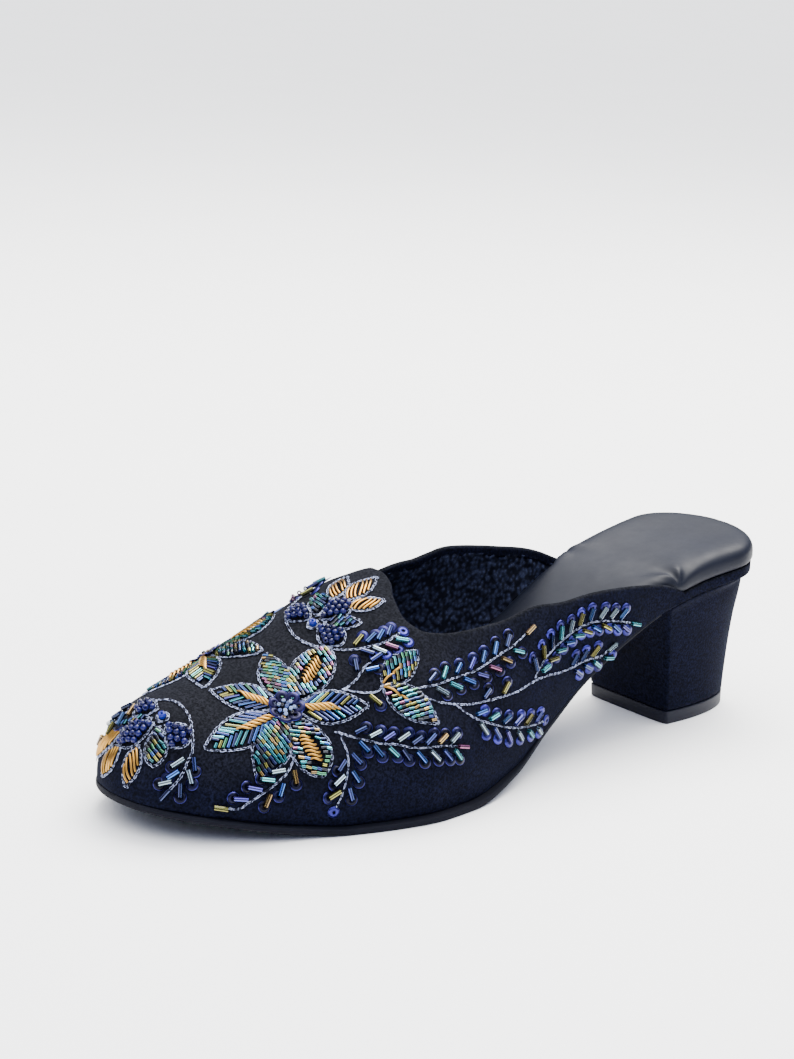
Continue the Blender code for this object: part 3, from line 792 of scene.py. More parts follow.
rings[..., 1] += (PAD_PROUD + BACK_SHIFT) * (1 - share(s_of, 0, SHIFT_REACH))

# Coated leather sheet: satin, with a broad soft gleam and a very fine print of pores.
PORE = 0.55 * MM
sheet, tree, shader, place = material("satin_leather_sheet", Roughness=0.5, Coat_Weight=0.02,
                                      Coat_Roughness=0.3)
shader.inputs["Specular IOR Level"].default_value = 0.15
shade = cloudy(tree, place, 22 * MM, Detail=2.0)
colour_with(tree, shader, mixed(tree, shade, tone("#070a14"), tone("#0d111e")))
wear = cloudy(tree, place, 6 * MM, Detail=3.0)
tree.links.new(ranged(tree, wear, 0.3, 0.7, 0.47, 0.57), shader.inputs["Roughness"])
pores = node(tree, "ShaderNodeTexVoronoi", {"Vector": place, "Scale": 1 / PORE})
emboss(tree, shader, pores.outputs["Distance"], 0.12, 0.06 * MM)

pad = loft("padded_insole", rings, sheet)
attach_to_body(pad, "root")
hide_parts("insole")


# ---------------------------------------------------------------- rubber outsole
# Moulded black rubber, cemented on: it stands a little proud round the forepart and draws in
# under the upper along the waist.

WELT = np.array([(0, -2.0), (80, -2.2), (110, -1.4), (145, 0.4), (245, 0.6)]) * MM
OUTSOLE_END = 52 * MM
SOLE_ROUND = 0.6 * MM
SOLE_SECTIONS = 170

rings = []
marks = sections_between(0, LENGTH, SOLE_SECTIONS)
for s in [OUTSOLE_END] + [mark for mark in marks if mark > OUTSOLE_END + 1 * MM]:
    low = float(last(UNDER, s))
    high = low + float(last(SOLE, s))
    proud = float(smooth(WELT[:, 0], WELT[:, 1], s) * closing(s))
    inner, outer = float(edge_at(s, False)) - proud, float(edge_at(s, True)) + proud
    radius = max(min(SOLE_ROUND, (high - low) / 2.2, (outer - inner) / 2.2), 0.01 * MM)
    rings.append(rounded_band(inner, outer, HEEL_Y - s, low, high, radius))

# Moulded rubber: dark satin sides with scuffs, and fine cross ribs on the tread.
RIB = 2.4 * MM
rubber, tree, shader, place = material("moulded_black_rubber", Roughness=0.75)
shader.inputs["Specular IOR Level"].default_value = 0.12
scuff = cloudy(tree, place, 2.2 * MM, Detail=5.0, Roughness=0.6)
colour_with(tree, shader, mixed(tree, scuff, tone("#02030a"), tone("#090b18")))
ribs = node(tree, "ShaderNodeTexWave", {"Vector": place, "Scale": 1 / RIB / 3.2, "Distortion": 0.4},
            bands_direction="Y")
under = ranged(tree, facing_up(tree), -0.9, -0.98)
emboss(tree, shader, reckoned(tree, "MULTIPLY", ribs.outputs["Fac"], under), 0.7, 0.5 * MM)
emboss(tree, shader, scuff, 0.25, 0.12 * MM)

sole = loft("rubber_outsole", rings, rubber)
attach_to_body(sole, "root")
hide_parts("outsole")


# ---------------------------------------------------------------- wrapped block heel
# A moulded block wrapped in the upper's suede, drawn in towards the floor, with a flat breast
# and a hollowed back; it is screwed up against the heel seat and follows its underside.

HEEL = np.array([(0, 18.6, 40.5, 1.0), (4.5, 18.7, 40.9, 1.0), (18, 19.6, 42.4, 0.9), (32, 21.3, 45.0, 0.8),
                 (44, 23.6, 48.2, 0.7), (60, 25.0, 51.5, 0.7)]) * MM
HEEL_FORM = np.array([2.3, 2.3, 2.4, 2.6, 2.9, 3.2])
TOP_PIECE = 4.5 * MM
BREAST_CROWN = 2.0 * MM
BREAST_FORM = 4.0
HEEL_POINTS = 120
HEEL_LEVELS = 44
SEAT_START = 50 * MM        # where the search for the block's top begins
SEAT_ROUNDS = 30
HEEL_ROUND_OVER = 0.7 * MM  # the suede rounds over the block's lower edge
FLARE_HIGH = 5 * MM         # just under the seat the wrap spreads towards the seat's edge
FLARE = 0.75                # by this share of the ledge


def signed_power(value, power):
    return np.sign(value) * np.abs(value) ** power


def heel_plan(z, angle, shrink=0.0):
    """Places on the block's outline at height z."""
    half_width, breast, back_at = (smooth(HEEL[:, 0], HEEL[:, k], z) for k in (1, 2, 3))
    front = np.sin(angle) < 0
    power = 2 / np.where(front, BREAST_FORM, smooth(HEEL[:, 0], HEEL_FORM, z))
    reach = np.where(front, BREAST_CROWN, breast - BREAST_CROWN - back_at)
    x = AXIS_X + (half_width - shrink) * signed_power(np.cos(angle), power)
    y = HEEL_Y - breast + BREAST_CROWN + (reach - shrink) * signed_power(np.sin(angle), power)
    return np.stack([x, y, z + 0 * x], -1)


def rounding(radius, k, steps):
    """Distances of step k of a quarter round: along the block, and in from its side."""
    angle = math.pi / 2 * k / steps
    return radius * (1 - math.cos(angle)), radius * (1 - math.sin(angle))


def level_ring(z, shrink):
    return heel_plan(np.full(HEEL_POINTS, z), around, shrink)


around = np.linspace(0, 2 * math.pi, HEEL_POINTS, endpoint=False)
seat = np.full(HEEL_POINTS, SEAT_START)
for _ in range(SEAT_ROUNDS):
    station = HEEL_Y - heel_plan(seat, around)[:, 1]
    seat = (seat + feather_at(np.maximum(station, 0)) - GAP) / 2
low = TOP_PIECE + GAP
rings = []
for k in range(6):
    rise_by, shrink = rounding(HEEL_ROUND_OVER, k, 6)
    rings.append(level_ring(low + rise_by, shrink))
first = low + HEEL_ROUND_OVER
top = heel_plan(seat, around)
top_s = np.maximum(HEEL_Y - top[:, 1], 0.3 * MM)
wide = np.where(top[:, 0] > AXIS_X, band_edge(top_s, 1), band_edge(top_s, -1)) - top[:, 0]
wide = np.where(np.sin(around) >= -0.5, wide, 0)
for u in np.linspace(0, 1, HEEL_LEVELS):
    z = first + (seat - first) * u
    ring = heel_plan(z, around)
    flare = FLARE * ease(share(z, seat - FLARE_HIGH, seat)) ** 2
    ring[:, 0] += wide * flare * np.abs(np.cos(around)) ** 0.5
    rings.append(ring)
heel = loft("wrapped_heel", rings, suede)
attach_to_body(heel, "root")
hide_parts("heel")


# ---------------------------------------------------------------- rubber tip
# A slab of grey-black rubber nailed under the heel: its edge is trimmed flush with the suede
# and buffed to a satin.

TIP_ROUND = 0.4 * MM

steps = [rounding(TIP_ROUND, k, 4) for k in range(5)]
rings = [level_ring(rise_by, shrink) for rise_by, shrink in steps]
rings += [level_ring(TOP_PIECE - drop_by, shrink) for shrink, drop_by in steps]

# Trimmed rubber: satin, with the fine level lines that the buffing wheel leaves.
tip_rubber, tree, shader, place = material("buffed_tip_rubber", Roughness=0.5)
shader.inputs["Specular IOR Level"].default_value = 0.2
stretch = node(tree, "ShaderNodeMapping", {"Vector": place, "Scale": (1.0, 1.0, 12.0)})
lines = cloudy(tree, stretch.outputs[0], 4 * MM, Detail=4.0)
colour_with(tree, shader, mixed(tree, lines, tone("#040614"), tone("#0c0f20")))
emboss(tree, shader, lines, 0.2, 0.1 * MM)

tip = loft("rubber_tip", rings, tip_rubber)
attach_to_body(tip, "root")
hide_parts("top_piece")


# ---------------------------------------------------------------- layout of the embroidery
# Hand beadwork couched onto the suede before lasting: a seven-petalled flower with leafy vines
# on each flank, and a berry spray at the toe and at the throat.  Places are (s, g): station,
# and girth over the foot from the crest, both in millimetres, outer side positive.

FLANK_AXIS = 7.0            # the inner flank repeats the outer one about this girth
MARGIN = 7.6                # the vines of the inner flank keep this far from the collar
rng = np.random.default_rng(11)
Petal = namedtuple("Petal", "root tip start width fill")
Vine = namedtuple("Vine", "points first pitch left right discs end lean", defaults=[(38, 38)])

FLOWER_CENTRE = (200.1, 28.6)
FLOWER = [
    Petal(FLOWER_CENTRE, (214.2, 8.0), 3.4, 10.5, "herringbone"),
    Petal(FLOWER_CENTRE, (227.1, 24.9), 3.4, 11.0, "herringbone"),
    Petal(FLOWER_CENTRE, (215.1, 42.0), 3.2, 11.5, "mosaic"),
    Petal(FLOWER_CENTRE, (196.7, 51.9), 3.2, 12.0, "ringed"),
    Petal(FLOWER_CENTRE, (179.1, 43.6), 3.4, 10.5, "herringbone"),
    Petal(FLOWER_CENTRE, (180.4, 21.2), 3.0, 12.5, "ringed"),
    Petal(FLOWER_CENTRE, (194.0, 8.1), 3.0, 9.5, "mosaic"),
]
LEAF_PAIR = [
    Petal((172.3, 41.5), (157.4, 38.7), 0.5, 8.5, "veined"),
    Petal((172.3, 41.8), (159.1, 60.6), 0.5, 9.5, "veined"),
]
TOE_SPRAY = [
    Petal((231.1, 5.0), (233.3, -4.3), 1.5, 7.5, "berry"),
    Petal((233.8, 7.4), (241.2, -1.2), 1.2, 8.0, "berry"),
    Petal((232.3, 9.6), (230.7, 19.8), 1.2, 8.0, "berry"),
    Petal((233.8, 8.6), (238.8, 15.8), 1.0, 6.8, "round"),
    Petal((233.4, 5.7), (238.6, -6.1), 1.5, 3.6, "mosaic"),
    Petal((239.3, -2.2), (239.0, -21.0), 0.5, 6.4, "gold"),
    Petal((241.4, 0.4), (244.1, -10.8), 0.5, 6.4, "gold"),
    Petal((239.6, 6.6), (243.9, 12.0), 0.3, 6.0, "gold"),
]
THROAT_SPRAY = [
    Petal((177.0, 8.6), (177.3, -1.9), 1.2, 7.6, "berry"),
    Petal((175.8, 10.6), (165.5, 11.8), 1.2, 8.4, "berry"),
    Petal((177.4, 11.8), (176.0, 22.8), 1.2, 8.2, "berry"),
    Petal((174.8, 8.6), (168.2, 1.2), 0.6, 6.8, "round"),
    Petal((175.6, 12.2), (167.4, 21.0), 0.8, 5.6, "mosaic"),
    Petal((167.8, 6.4), (157.2, -0.9), 0.3, 6.2, "gold"),
    Petal((165.6, 10.0), (151.5, 6.4), 0.3, 6.8, "gold"),
    Petal((167.4, 13.6), (156.6, 17.4), 0.3, 6.0, "gold"),
]
LEAF_STALKS = [
    Vine([(182.4, 35.6), (178.3, 39.8), (174.2, 42.3), (172.3, 41.6)], 5.5, 4.0, 0, 1, "dark", None),
    Vine([(182.3, 35.3), (178.5, 35.3), (174.3, 33.7), (172.1, 33.7)], 7.0, 4.0, 1, 1, "dark", "bugle"),
]
VINES = [
    Vine([(164.3, 48.4), (155.8, 50.0), (147.2, 49.7), (139.5, 50.2), (129.5, 50.0), (122.4, 50.6),
          (116.8, 51.5)], 6.0, 5.6, 7, 7, "dark", "bugle"),
    Vine([(164.3, 48.4), (157.7, 54.5), (148.3, 57.9), (136.1, 60.5), (124.4, 63.7), (115.8, 66.9),
          (102.3, 75.5), (88.7, 81.9), (78.4, 88.3)], 27.0, 8.5, 2, 0, "dark", None),
    Vine([(102.3, 75.5), (95.4, 79.0), (88.7, 81.9), (82.0, 85.6), (78.4, 88.3)], 5.6, 5.1, 3, 4, "bright",
         "bugle"),
    Vine([(115.8, 66.9), (112.9, 65.8), (106.5, 65.9), (100.5, 66.5), (93.7, 68.1), (86.2, 71.3),
          (79.0, 76.1), (68.2, 84.4)], 3.0, 4.75, 10, 10, "bright", "bugle", (50, 26)),
    Vine([(150.4, 57.6), (145.2, 62.3), (138.4, 66.6), (130.6, 71.3), (120.7, 77.1), (110.0, 85.2)],
         8.0, 6.0, 6, 6, "bright", "disc"),
    Vine([(189.4, 44.2), (186.6, 47.5), (182.1, 52.1), (178.2, 55.9), (173.5, 59.3), (168.9, 63.2),
          (163.3, 66.3), (153.2, 69.3)], 5.0, 4.5, 9, 9, "dark", "bugle"),
    Vine([(188.8, 46.5), (188.7, 52.2), (189.7, 55.8), (191.7, 59.8), (193.6, 63.0)], 5.0, 4.6, 3, 3,
         "dark", "disc"),
    Vine([(203.2, 41.5), (206.7, 44.5), (211.8, 45.5), (216.1, 45.6), (220.0, 45.8), (224.0, 46.4)], 4.5,
         4.6, 3, 4, "dark", "bugle"),
]
TOE_STEMS = [
    Vine([(230.3, -3.6), (229.0, 0), (226.7, 2.6), (225.6, 5.4), (225.4, 9.3), (225.8, 12.7),
          (227.1, 16.3), (228.6, 19.6), (230.0, 22.7), (231.5, 23.6), (233.2, 24.9), (234.9, 25.7),
          (237.0, 25.4)], 31.0, 3.8, 4, 4, "dark", "bugle"),
    Vine([(230.3, -3.6), (232.7, -5.6), (234.2, -6.7), (236.5, -9.2), (237.8, -12.1), (237.8, -16.5)],
         3.0, 3.9, 3, 3, "dark", "bugle"),
]
THROAT_STEMS = [
    Vine([(175.9, -4.3), (179.7, -1.0), (182.2, 3.3), (183.9, 9.2), (183.4, 14.4), (181.4, 19.1),
          (179.0, 22.4), (174.9, 26.4), (172.4, 27.9), (169.7, 29.4), (167.2, 30.6), (164.0, 31.3),
          (160.1, 31.0)], 37.5, 3.7, 5, 5, "bright", "disc"),
    Vine([(175.9, -3.9), (171.2, -5.6), (167.0, -8.0), (163.0, -10.3), (158.5, -11.6)], 4.0, 4.4, 3, 3,
         "bright", "disc"),
]

collar_fine = np.linspace(-1, 0, 400)
collar_s = smooth(COLLAR[:, 0], COLLAR[:, 1] * MM, collar_fine)
collar_g = girth_at(root_of(collar_s), collar_fine)
rising = np.maximum.accumulate(collar_s)


def on_flank(point, hand):
    """A place of the outer flank, or for hand -1 the one that repeats it on the inner flank."""
    s, g = point
    if hand < 0:
        g = 2 * FLANK_AXIS - g
        if s * MM < rising[-1]:
            g = min(g, np.interp(s * MM, rising, collar_g) / MM - MARGIN)
    lowest = girth_at(root_of(np.array([s * MM])), np.array([float(hand)]))[0] / MM
    return s, g if abs(g) < abs(lowest) - 3.5 else math.copysign(abs(lowest) - 3.5, g)


def chart(points):
    s, g = np.array(points, float).reshape(-1, 2).T * MM
    return root_of(s), turn_at(s, g)


def walk(w, turn, aim, distance, steps=8):
    """Goes a distance over the suede, straight ahead; gives the place and the last heading."""
    for _ in range(steps):
        out = tangents(w, turn)[2]
        aim = unit(aim - out * dot(aim, out)[..., None])
        w, turn = shifted(w, turn, aim, distance / steps)
        w = np.maximum(w, 0.004)
    out = tangents(w, turn)[2]
    return w, turn, unit(aim - out * dot(aim, out)[..., None])


class Ground:
    """Directions at places on the suede: out of it, along a motif's line, and beside that."""

    def __init__(self, w, turn, along, hand):
        self.w, self.turn, self.hand = w, turn, hand
        self.out = tangents(w, turn)[2]
        self.along = unit(along - self.out * dot(along, self.out)[..., None])
        self.beside = np.cross(self.out, self.along) * hand

    def place(self, lift):
        return on_suede(self.w, self.turn, lift)[0]

    def toward(self, degrees):
        angle = np.radians(degrees)[..., None]
        return self.along * np.cos(angle) + self.beside * np.sin(angle)


def in_petal(petal, hand, u, v):
    """Ground u along the petal's line and v beside it, in millimetres, and the line's length."""
    (w0, w1), (turn0, turn1) = chart([on_flank(petal.root, hand), on_flank(petal.tip, hand)])
    ends = on_suede(np.array([w0, w1]), np.array([turn0, turn1]))[0]
    u, v = np.broadcast_arrays(np.asarray(u, float) * MM, np.asarray(v, float) * MM)
    aim = np.broadcast_to(unit(ends[1] - ends[0]), u.shape + (3,))
    w, turn, aim = walk(np.full(u.shape, w0), np.full(u.shape, turn0), aim, u)
    first = Ground(w, turn, aim, hand)
    side = np.where(v < 0, -1.0, 1.0)[..., None]
    w, turn, beside = walk(w, turn, first.beside * side, np.abs(v))
    beside = beside * side
    return Ground(w, turn, np.cross(beside, tangents(w, turn)[2]) * hand, hand)


def petal_length(petal, hand):
    w, turn = chart([on_flank(petal.root, hand), on_flank(petal.tip, hand)])
    ends = on_suede(w, turn)[0]
    return np.linalg.norm(ends[1] - ends[0]) / MM * 1.02


def half_width(petal, length, u):
    """Half width of the petal at u; u runs from its start to its length."""
    along = np.clip((u - petal.start) / (length - petal.start), 0, 1)
    skew, full = (1.2, 0.58) if petal.fill in ("ringed", "round", "berry") else (0.85, 0.85)
    return petal.width / 2 * np.sin(math.pi * along ** skew) ** full


def through(points, spacing=0.5):
    """Smooth line through points of the chart, as places every spacing millimetres or so."""
    knots = np.array(points, float)
    knots = np.concatenate([2 * knots[:1] - knots[1:2], knots, 2 * knots[-1:] - knots[-2:-1]])
    line = []
    for a, b, c, d in zip(knots, knots[1:], knots[2:], knots[3:]):
        count = max(int(np.linalg.norm(c - b) / spacing), 2)
        t = np.arange(count)[:, None] / count
        line.append(b + 0.5 * t * (c - a + t * (2 * a - 5 * b + 4 * c - d + t * (3 * b - a - 3 * c + d))))
    return np.concatenate(line + [knots[-2:-1]])


def stem_ground(vine, hand, distances):
    """Ground at distances in millimetres along a vine."""
    w, turn = chart([on_flank(point, hand) for point in through(vine.points)])
    places = on_suede(w, turn)[0]
    gone = np.concatenate([[0], np.linalg.norm(np.diff(places, axis=0), axis=1).cumsum()]) / MM
    aims = np.gradient(places, axis=0)
    aim = np.stack([np.interp(distances, gone, aims[:, k]) for k in range(3)], -1)
    return Ground(np.interp(distances, gone, w), np.interp(distances, gone, turn), unit(aim), hand), gone[-1]


# Every piece of work is kept under the motif that it belongs to: threads and wires as lines,
# beads and discs as single places with their directions, sizes and colours.
MOTIFS = ("flower_outer", "flower_inner", "leaf_pair_outer", "leaf_pair_inner", "throat_motif",
          "toe_motif", "vines_outer", "vines_inner", "flower_stems")
threads, wires, bugles, discs, seeds = ({name: [] for name in MOTIFS} for _ in range(5))

NAVY, BLUE, TEAL, CYAN, OLIVE = "#121f80", "#2258c8", "#108ca0", "#58c8dc", "#a8a83c"
GREEN, PURPLE, PINK, IRIS, AMBER = "#3f9c74", "#5240b8", "#b05c8a", "#14162c", "#c8a850"
SILVER = "#a4bcd0"
LONG_MIX = [NAVY, BLUE, NAVY, TEAL, CYAN, OLIVE, PURPLE, GREEN, BLUE, OLIVE, NAVY, NAVY]
CUT_MIX = [GREEN, TEAL, OLIVE, CYAN, IRIS, BLUE, OLIVE, NAVY, TEAL, AMBER, GREEN, IRIS, NAVY, TEAL, IRIS,
           PINK]
SPRAY_MIX = [CYAN, NAVY, BLUE, PURPLE, SILVER, OLIVE, BLUE, NAVY, CYAN, NAVY, BLUE, AMBER, PINK, SILVER]


def add(store, motif, places, out, along, sizes, colours):
    """Keeps places; sizes are length and thickness in metres."""
    for row in zip(places, out, along, np.broadcast_to(sizes, (len(places), 2)), colours):
        store[motif].append(row)


def picked(mix, count):
    """Colours from a mix, each a little lighter or darker than its neighbour."""
    chosen = [np.array(tone(mix[i])[:3]) for i in rng.integers(0, len(mix), count)]
    return [colour * rng.uniform(0.45, 1.1) for colour in chosen]


BUGLE_THICK = 0.95
LONG_PITCH = 1.75
LEAN = 40.0
CUT_THICK = 1.0
CUT_PITCH = 1.24
CUT_ANGLE = 58.0
SEED_SIZE = 1.95
WIRE_THICK = 0.74
ROPE_STRIPS = 6             # gold strips along a herringbone petal's root
EDGE_ROOM = 0.85            # beads keep this far inside a petal's outline


def add_wire(motif, petal, hand, u, v, lift, bow):
    """A gold strip through the places u, v; its middle stands bow higher than its ends."""
    ground = in_petal(petal, hand, u, v)
    arch = np.sin(np.linspace(0, math.pi, len(u)))
    wires[motif].append((ground.place((lift + bow * arch) * MM), ground.out))


def herringbone(motif, petal, hand, length):
    """Long bugles lean forward from a rope of gold strips, and from the midrib beyond it."""
    u, v, sizes, angles = [], [], [], []
    for side in (1, -1):
        start = petal.start + (0.4 if side > 0 else 1.1)
        while start < length - 2.4:
            rope = 0.9 * (1 - share(start / length, 0.44, 0.56)) + 0.28
            lean = LEAN + rng.uniform(-4, 4)
            run, spread = math.cos(math.radians(lean)), math.sin(math.radians(lean))
            for long in np.arange(5.2, 1.4, -0.2):
                far_u, far_v = start + long * run, rope + long * spread
                if far_v < half_width(petal, length, far_u) - EDGE_ROOM * 0.8:
                    u.append(start + long * run / 2)
                    v.append(side * (rope + long * spread / 2))
                    sizes.append((long * MM, BUGLE_THICK * MM))
                    angles.append(side * lean)
                    break
            start += LONG_PITCH
    ground = in_petal(petal, hand, u, v)
    add(bugles, motif, ground.place(0.7 * MM), ground.out, ground.toward(np.array(angles)), sizes,
        picked(LONG_MIX, len(u)))
    t = np.linspace(0, 1, 13)
    for k in range(ROPE_STRIPS):
        first = petal.start + 0.5 + k * 0.062 * length
        sway = np.tanh(3.2 * (t - 0.5)) / math.tanh(1.6)
        add_wire(motif, petal, hand, first + 4.3 * t, -0.95 * sway, 0.75 + 0.04 * k, 0.7)


def mosaic(motif, petal, hand, length, hollow=None, angle=CUT_ANGLE):
    """Short cut beads in staggered slanting rows; hollow tells which places stay free."""
    u, v, sizes = [], [], []
    run, spread = math.cos(math.radians(angle)), math.sin(math.radians(angle))
    start = petal.start - petal.width
    while start < length + petal.width:
        t = -petal.width + rng.uniform(0, 1.5)
        while t < petal.width:
            long = rng.uniform(1.2, 1.85)
            at_u, at_v = start + (t + long / 2) * run, (t + long / 2) * spread
            ends_in = all(abs(e * spread) < half_width(petal, length, start + e * run) - EDGE_ROOM * 0.5
                          for e in (t + 0.3 * long, t + 0.7 * long))
            if ends_in and not (hollow and hollow(at_u, at_v)):
                u.append(at_u)
                v.append(at_v)
                sizes.append((long * MM, CUT_THICK * MM * rng.uniform(0.9, 1.1)))
            t += long + 0.06
        start += CUT_PITCH / spread
    if not u:
        return
    ground = in_petal(petal, hand, u, v)
    dome = 1 - (np.array(v) / (petal.width / 2)) ** 2
    add(bugles, motif, ground.place((0.7 + 0.35 * dome) * MM), ground.out,
        ground.toward(angle + rng.uniform(-14, 14, len(u))), sizes, picked(CUT_MIX, len(u)))


def ringed(motif, petal, hand, length):
    """Cut beads round a heart of slanting gold strips."""
    middle, reach = petal.start + 0.56 * (length - petal.start), 0.2 * (length - petal.start)
    mosaic(motif, petal, hand, length,
           lambda u, v: ((u - middle) / (reach + 1.3)) ** 2 + (v / (0.15 * petal.width + 0.9)) ** 2 < 1)
    t = np.linspace(-1, 1, 11)
    for shift in np.arange(-reach, reach + 0.1, 1.2):
        half = 2.2 * math.sqrt(max(1 - (shift / (reach + 1.6)) ** 2, 0.2))
        u = middle + shift + half * t * math.cos(math.radians(62)) + 0.25 * np.sin(math.pi * t)
        v = half * t * math.sin(math.radians(62))
        add_wire(motif, petal, hand, u, v, 0.75, 0.65)


def gold_leaf(motif, petal, hand, length):
    """Parallel gold strips slant from edge to edge."""
    slant = math.radians(31)
    start = petal.start - 1.0
    t = np.linspace(-1, 1, 11)
    while start < length - 1.5:
        reach = [e for e in np.arange(-7, 7, 0.15)
                 if abs(e * math.sin(slant)) < half_width(petal, length, start + e * math.cos(slant)) - 0.6]
        if len(reach) > 10:
            middle, half = (reach[0] + reach[-1]) / 2, (reach[-1] - reach[0]) / 2
            e = middle + half * t
            u = start + e * math.cos(slant) + 0.2 * np.sin(math.pi * t)
            v = e * math.sin(slant) + 0.35 * np.cos(math.pi * t / 2) * np.sign(middle + 0.01)
            add_wire(motif, petal, hand, u, v, 0.5, 0.4)
        start += 1.12 / math.sin(slant)


def berry(motif, petal, hand, length):
    """Navy seed beads packed like bricks, heaped up in the middle."""
    u, v, lift = [], [], []
    middle, reach = (petal.start + length) / 2, (length - petal.start) / 2
    rows = int(length / (SEED_SIZE * 0.87)) + 2
    for row in range(rows):
        at_u = petal.start + 0.9 + row * SEED_SIZE * 0.87
        for column in range(-3, 4):
            at_v = (column + 0.5 * (row % 2)) * SEED_SIZE
            if abs(at_v) < half_width(petal, length, at_u) - SEED_SIZE * 0.36 and at_u < length - 0.7:
                u.append(at_u + rng.uniform(-0.1, 0.1))
                v.append(at_v + rng.uniform(-0.1, 0.1))
                high = 1 - ((at_u - middle) / reach) ** 2 * 0.7 - (at_v / (petal.width / 2)) ** 2 * 0.8
                lift.append(0.75 + 1.0 * max(high, 0))
    ground = in_petal(petal, hand, u, v)
    lay = ground.toward(rng.uniform(0, 360, len(u)))
    tilt = ground.toward(rng.uniform(0, 360, len(u))) + 0.5 * ground.out
    shade = [np.array(tone("#080c42")[:3]) * rng.uniform(0.5, 1.4) for _ in u]
    add(seeds, motif, ground.place(np.array(lift) * MM), unit(tilt), lay,
        (SEED_SIZE * MM, SEED_SIZE * MM), shade)


def outline(motif, petal, hand, length):
    """Chain stitch round a petal, from its root to the tip and back."""
    u = np.linspace(petal.start, length, 26)
    edge = half_width(petal, length, u)
    ground = in_petal(petal, hand, np.concatenate([u, u[::-1][1:-1], u[:1]]),
                      np.concatenate([edge, -edge[::-1][1:-1], edge[:1]]))
    threads[motif].append((ground.place(0.35 * MM), ground.out))


FILLS = {"herringbone": herringbone, "mosaic": mosaic, "ringed": ringed, "gold": gold_leaf,
         "berry": berry}


def work_petal(motif, petal, hand):
    length = petal_length(petal, hand)
    outline(motif, petal, hand, length)
    if petal.fill == "round":
        mosaic(motif, petal, hand, length, angle=40.0)
    elif petal.fill == "veined":
        mosaic(motif, petal, hand, length,
               lambda u, v: abs(v) < 0.6 and u < 0.46 * length, angle=50.0)
        t = np.linspace(0, 1, 9)
        add_wire(motif, petal, hand, 0.6 + 0.28 * length * t, 0.5 * np.sin(3.0 * t) - 0.3 * t, 0.7, 0.5)
        add_wire(motif, petal, hand, 0.8 + (0.27 + 0.2 * t) * length, 0.3 - 0.5 * t, 0.7, 0.4)
    else:
        FILLS[petal.fill](motif, petal, hand, length)


DISC_SIZE = 3.8
SPRAY_LONG = 4.0
SPRAY_THICK = 1.45
BRIGHT_DISC, DARK_DISC = "#29286e", "#090b2a"
BESIDE_STEM = 1.1 * MM      # a bugle's foot stands this far beside the stem


def work_vine(motif, vine, hand):
    """A chain-stitched stem with bugles leaning off it, each held at its outer end by a disc."""
    _, length = stem_ground(vine, hand, np.array([0.0]))
    ground, _ = stem_ground(vine, hand, np.arange(0, length, 0.5))
    threads[motif].append((ground.place(0.3 * MM), ground.out))
    for side, count in ((1, vine.left), (-1, vine.right)):
        if not count:
            continue
        at = vine.first + vine.pitch * (np.arange(count) + (0.0 if side > 0 else 0.35))
        at = at[at < length - 0.5]
        stem, _ = stem_ground(vine, hand, at)
        lean = vine.lean[0 if side > 0 else 1] + rng.uniform(-6, 7, len(at))
        across = stem.toward(np.full(len(at), side * 90.0))
        w, turn, _ = walk(stem.w, stem.turn, across, np.full(len(at), BESIDE_STEM), 3)
        beside = Ground(w, turn, stem.along, hand)
        heading = beside.toward(side * lean)
        long = SPRAY_LONG * rng.uniform(0.92, 1.06, len(at)) * MM
        w_mid, turn_mid, aim = walk(w, turn, heading, long / 2, 3)
        middle = Ground(w_mid, turn_mid, aim, hand)
        add(bugles, motif, middle.place(1.05 * MM), middle.out, unit(middle.along + 0.03 * middle.out),
            np.stack([long, np.full(len(at), SPRAY_THICK * MM)], -1), picked(SPRAY_MIX, len(at)))
        w_end, turn_end, aim = walk(w, turn, heading, long + 0.1 * MM, 4)
        end = Ground(w_end, turn_end, aim, hand)
        bright = np.array(tone(BRIGHT_DISC if vine.discs == "bright" else DARK_DISC)[:3])
        tipped = unit(end.out - 0.26 * end.along + 0.05 * rng.normal(size=end.out.shape))
        add(discs, motif, end.place(0.42 * MM), tipped, end.along, (DISC_SIZE * MM, DISC_SIZE * MM),
            [bright * (0.3 + 1.3 * rng.uniform() ** 2) for _ in at])
    if vine.end:
        tip, _ = stem_ground(vine, hand, np.array([length]))
        w, turn, aim = walk(tip.w, tip.turn, tip.along, np.full(1, 2.2 * MM), 3)
        end = Ground(w, turn, aim, hand)
        if vine.end == "bugle":
            add(bugles, motif, end.place(0.9 * MM), end.out, end.along, (SPRAY_LONG * MM, SPRAY_THICK * MM),
                picked(SPRAY_MIX, 1))
        else:
            add(discs, motif, end.place(0.35 * MM), end.out, end.along, (DISC_SIZE * MM, DISC_SIZE * MM),
                [np.array(tone(BRIGHT_DISC)[:3])])


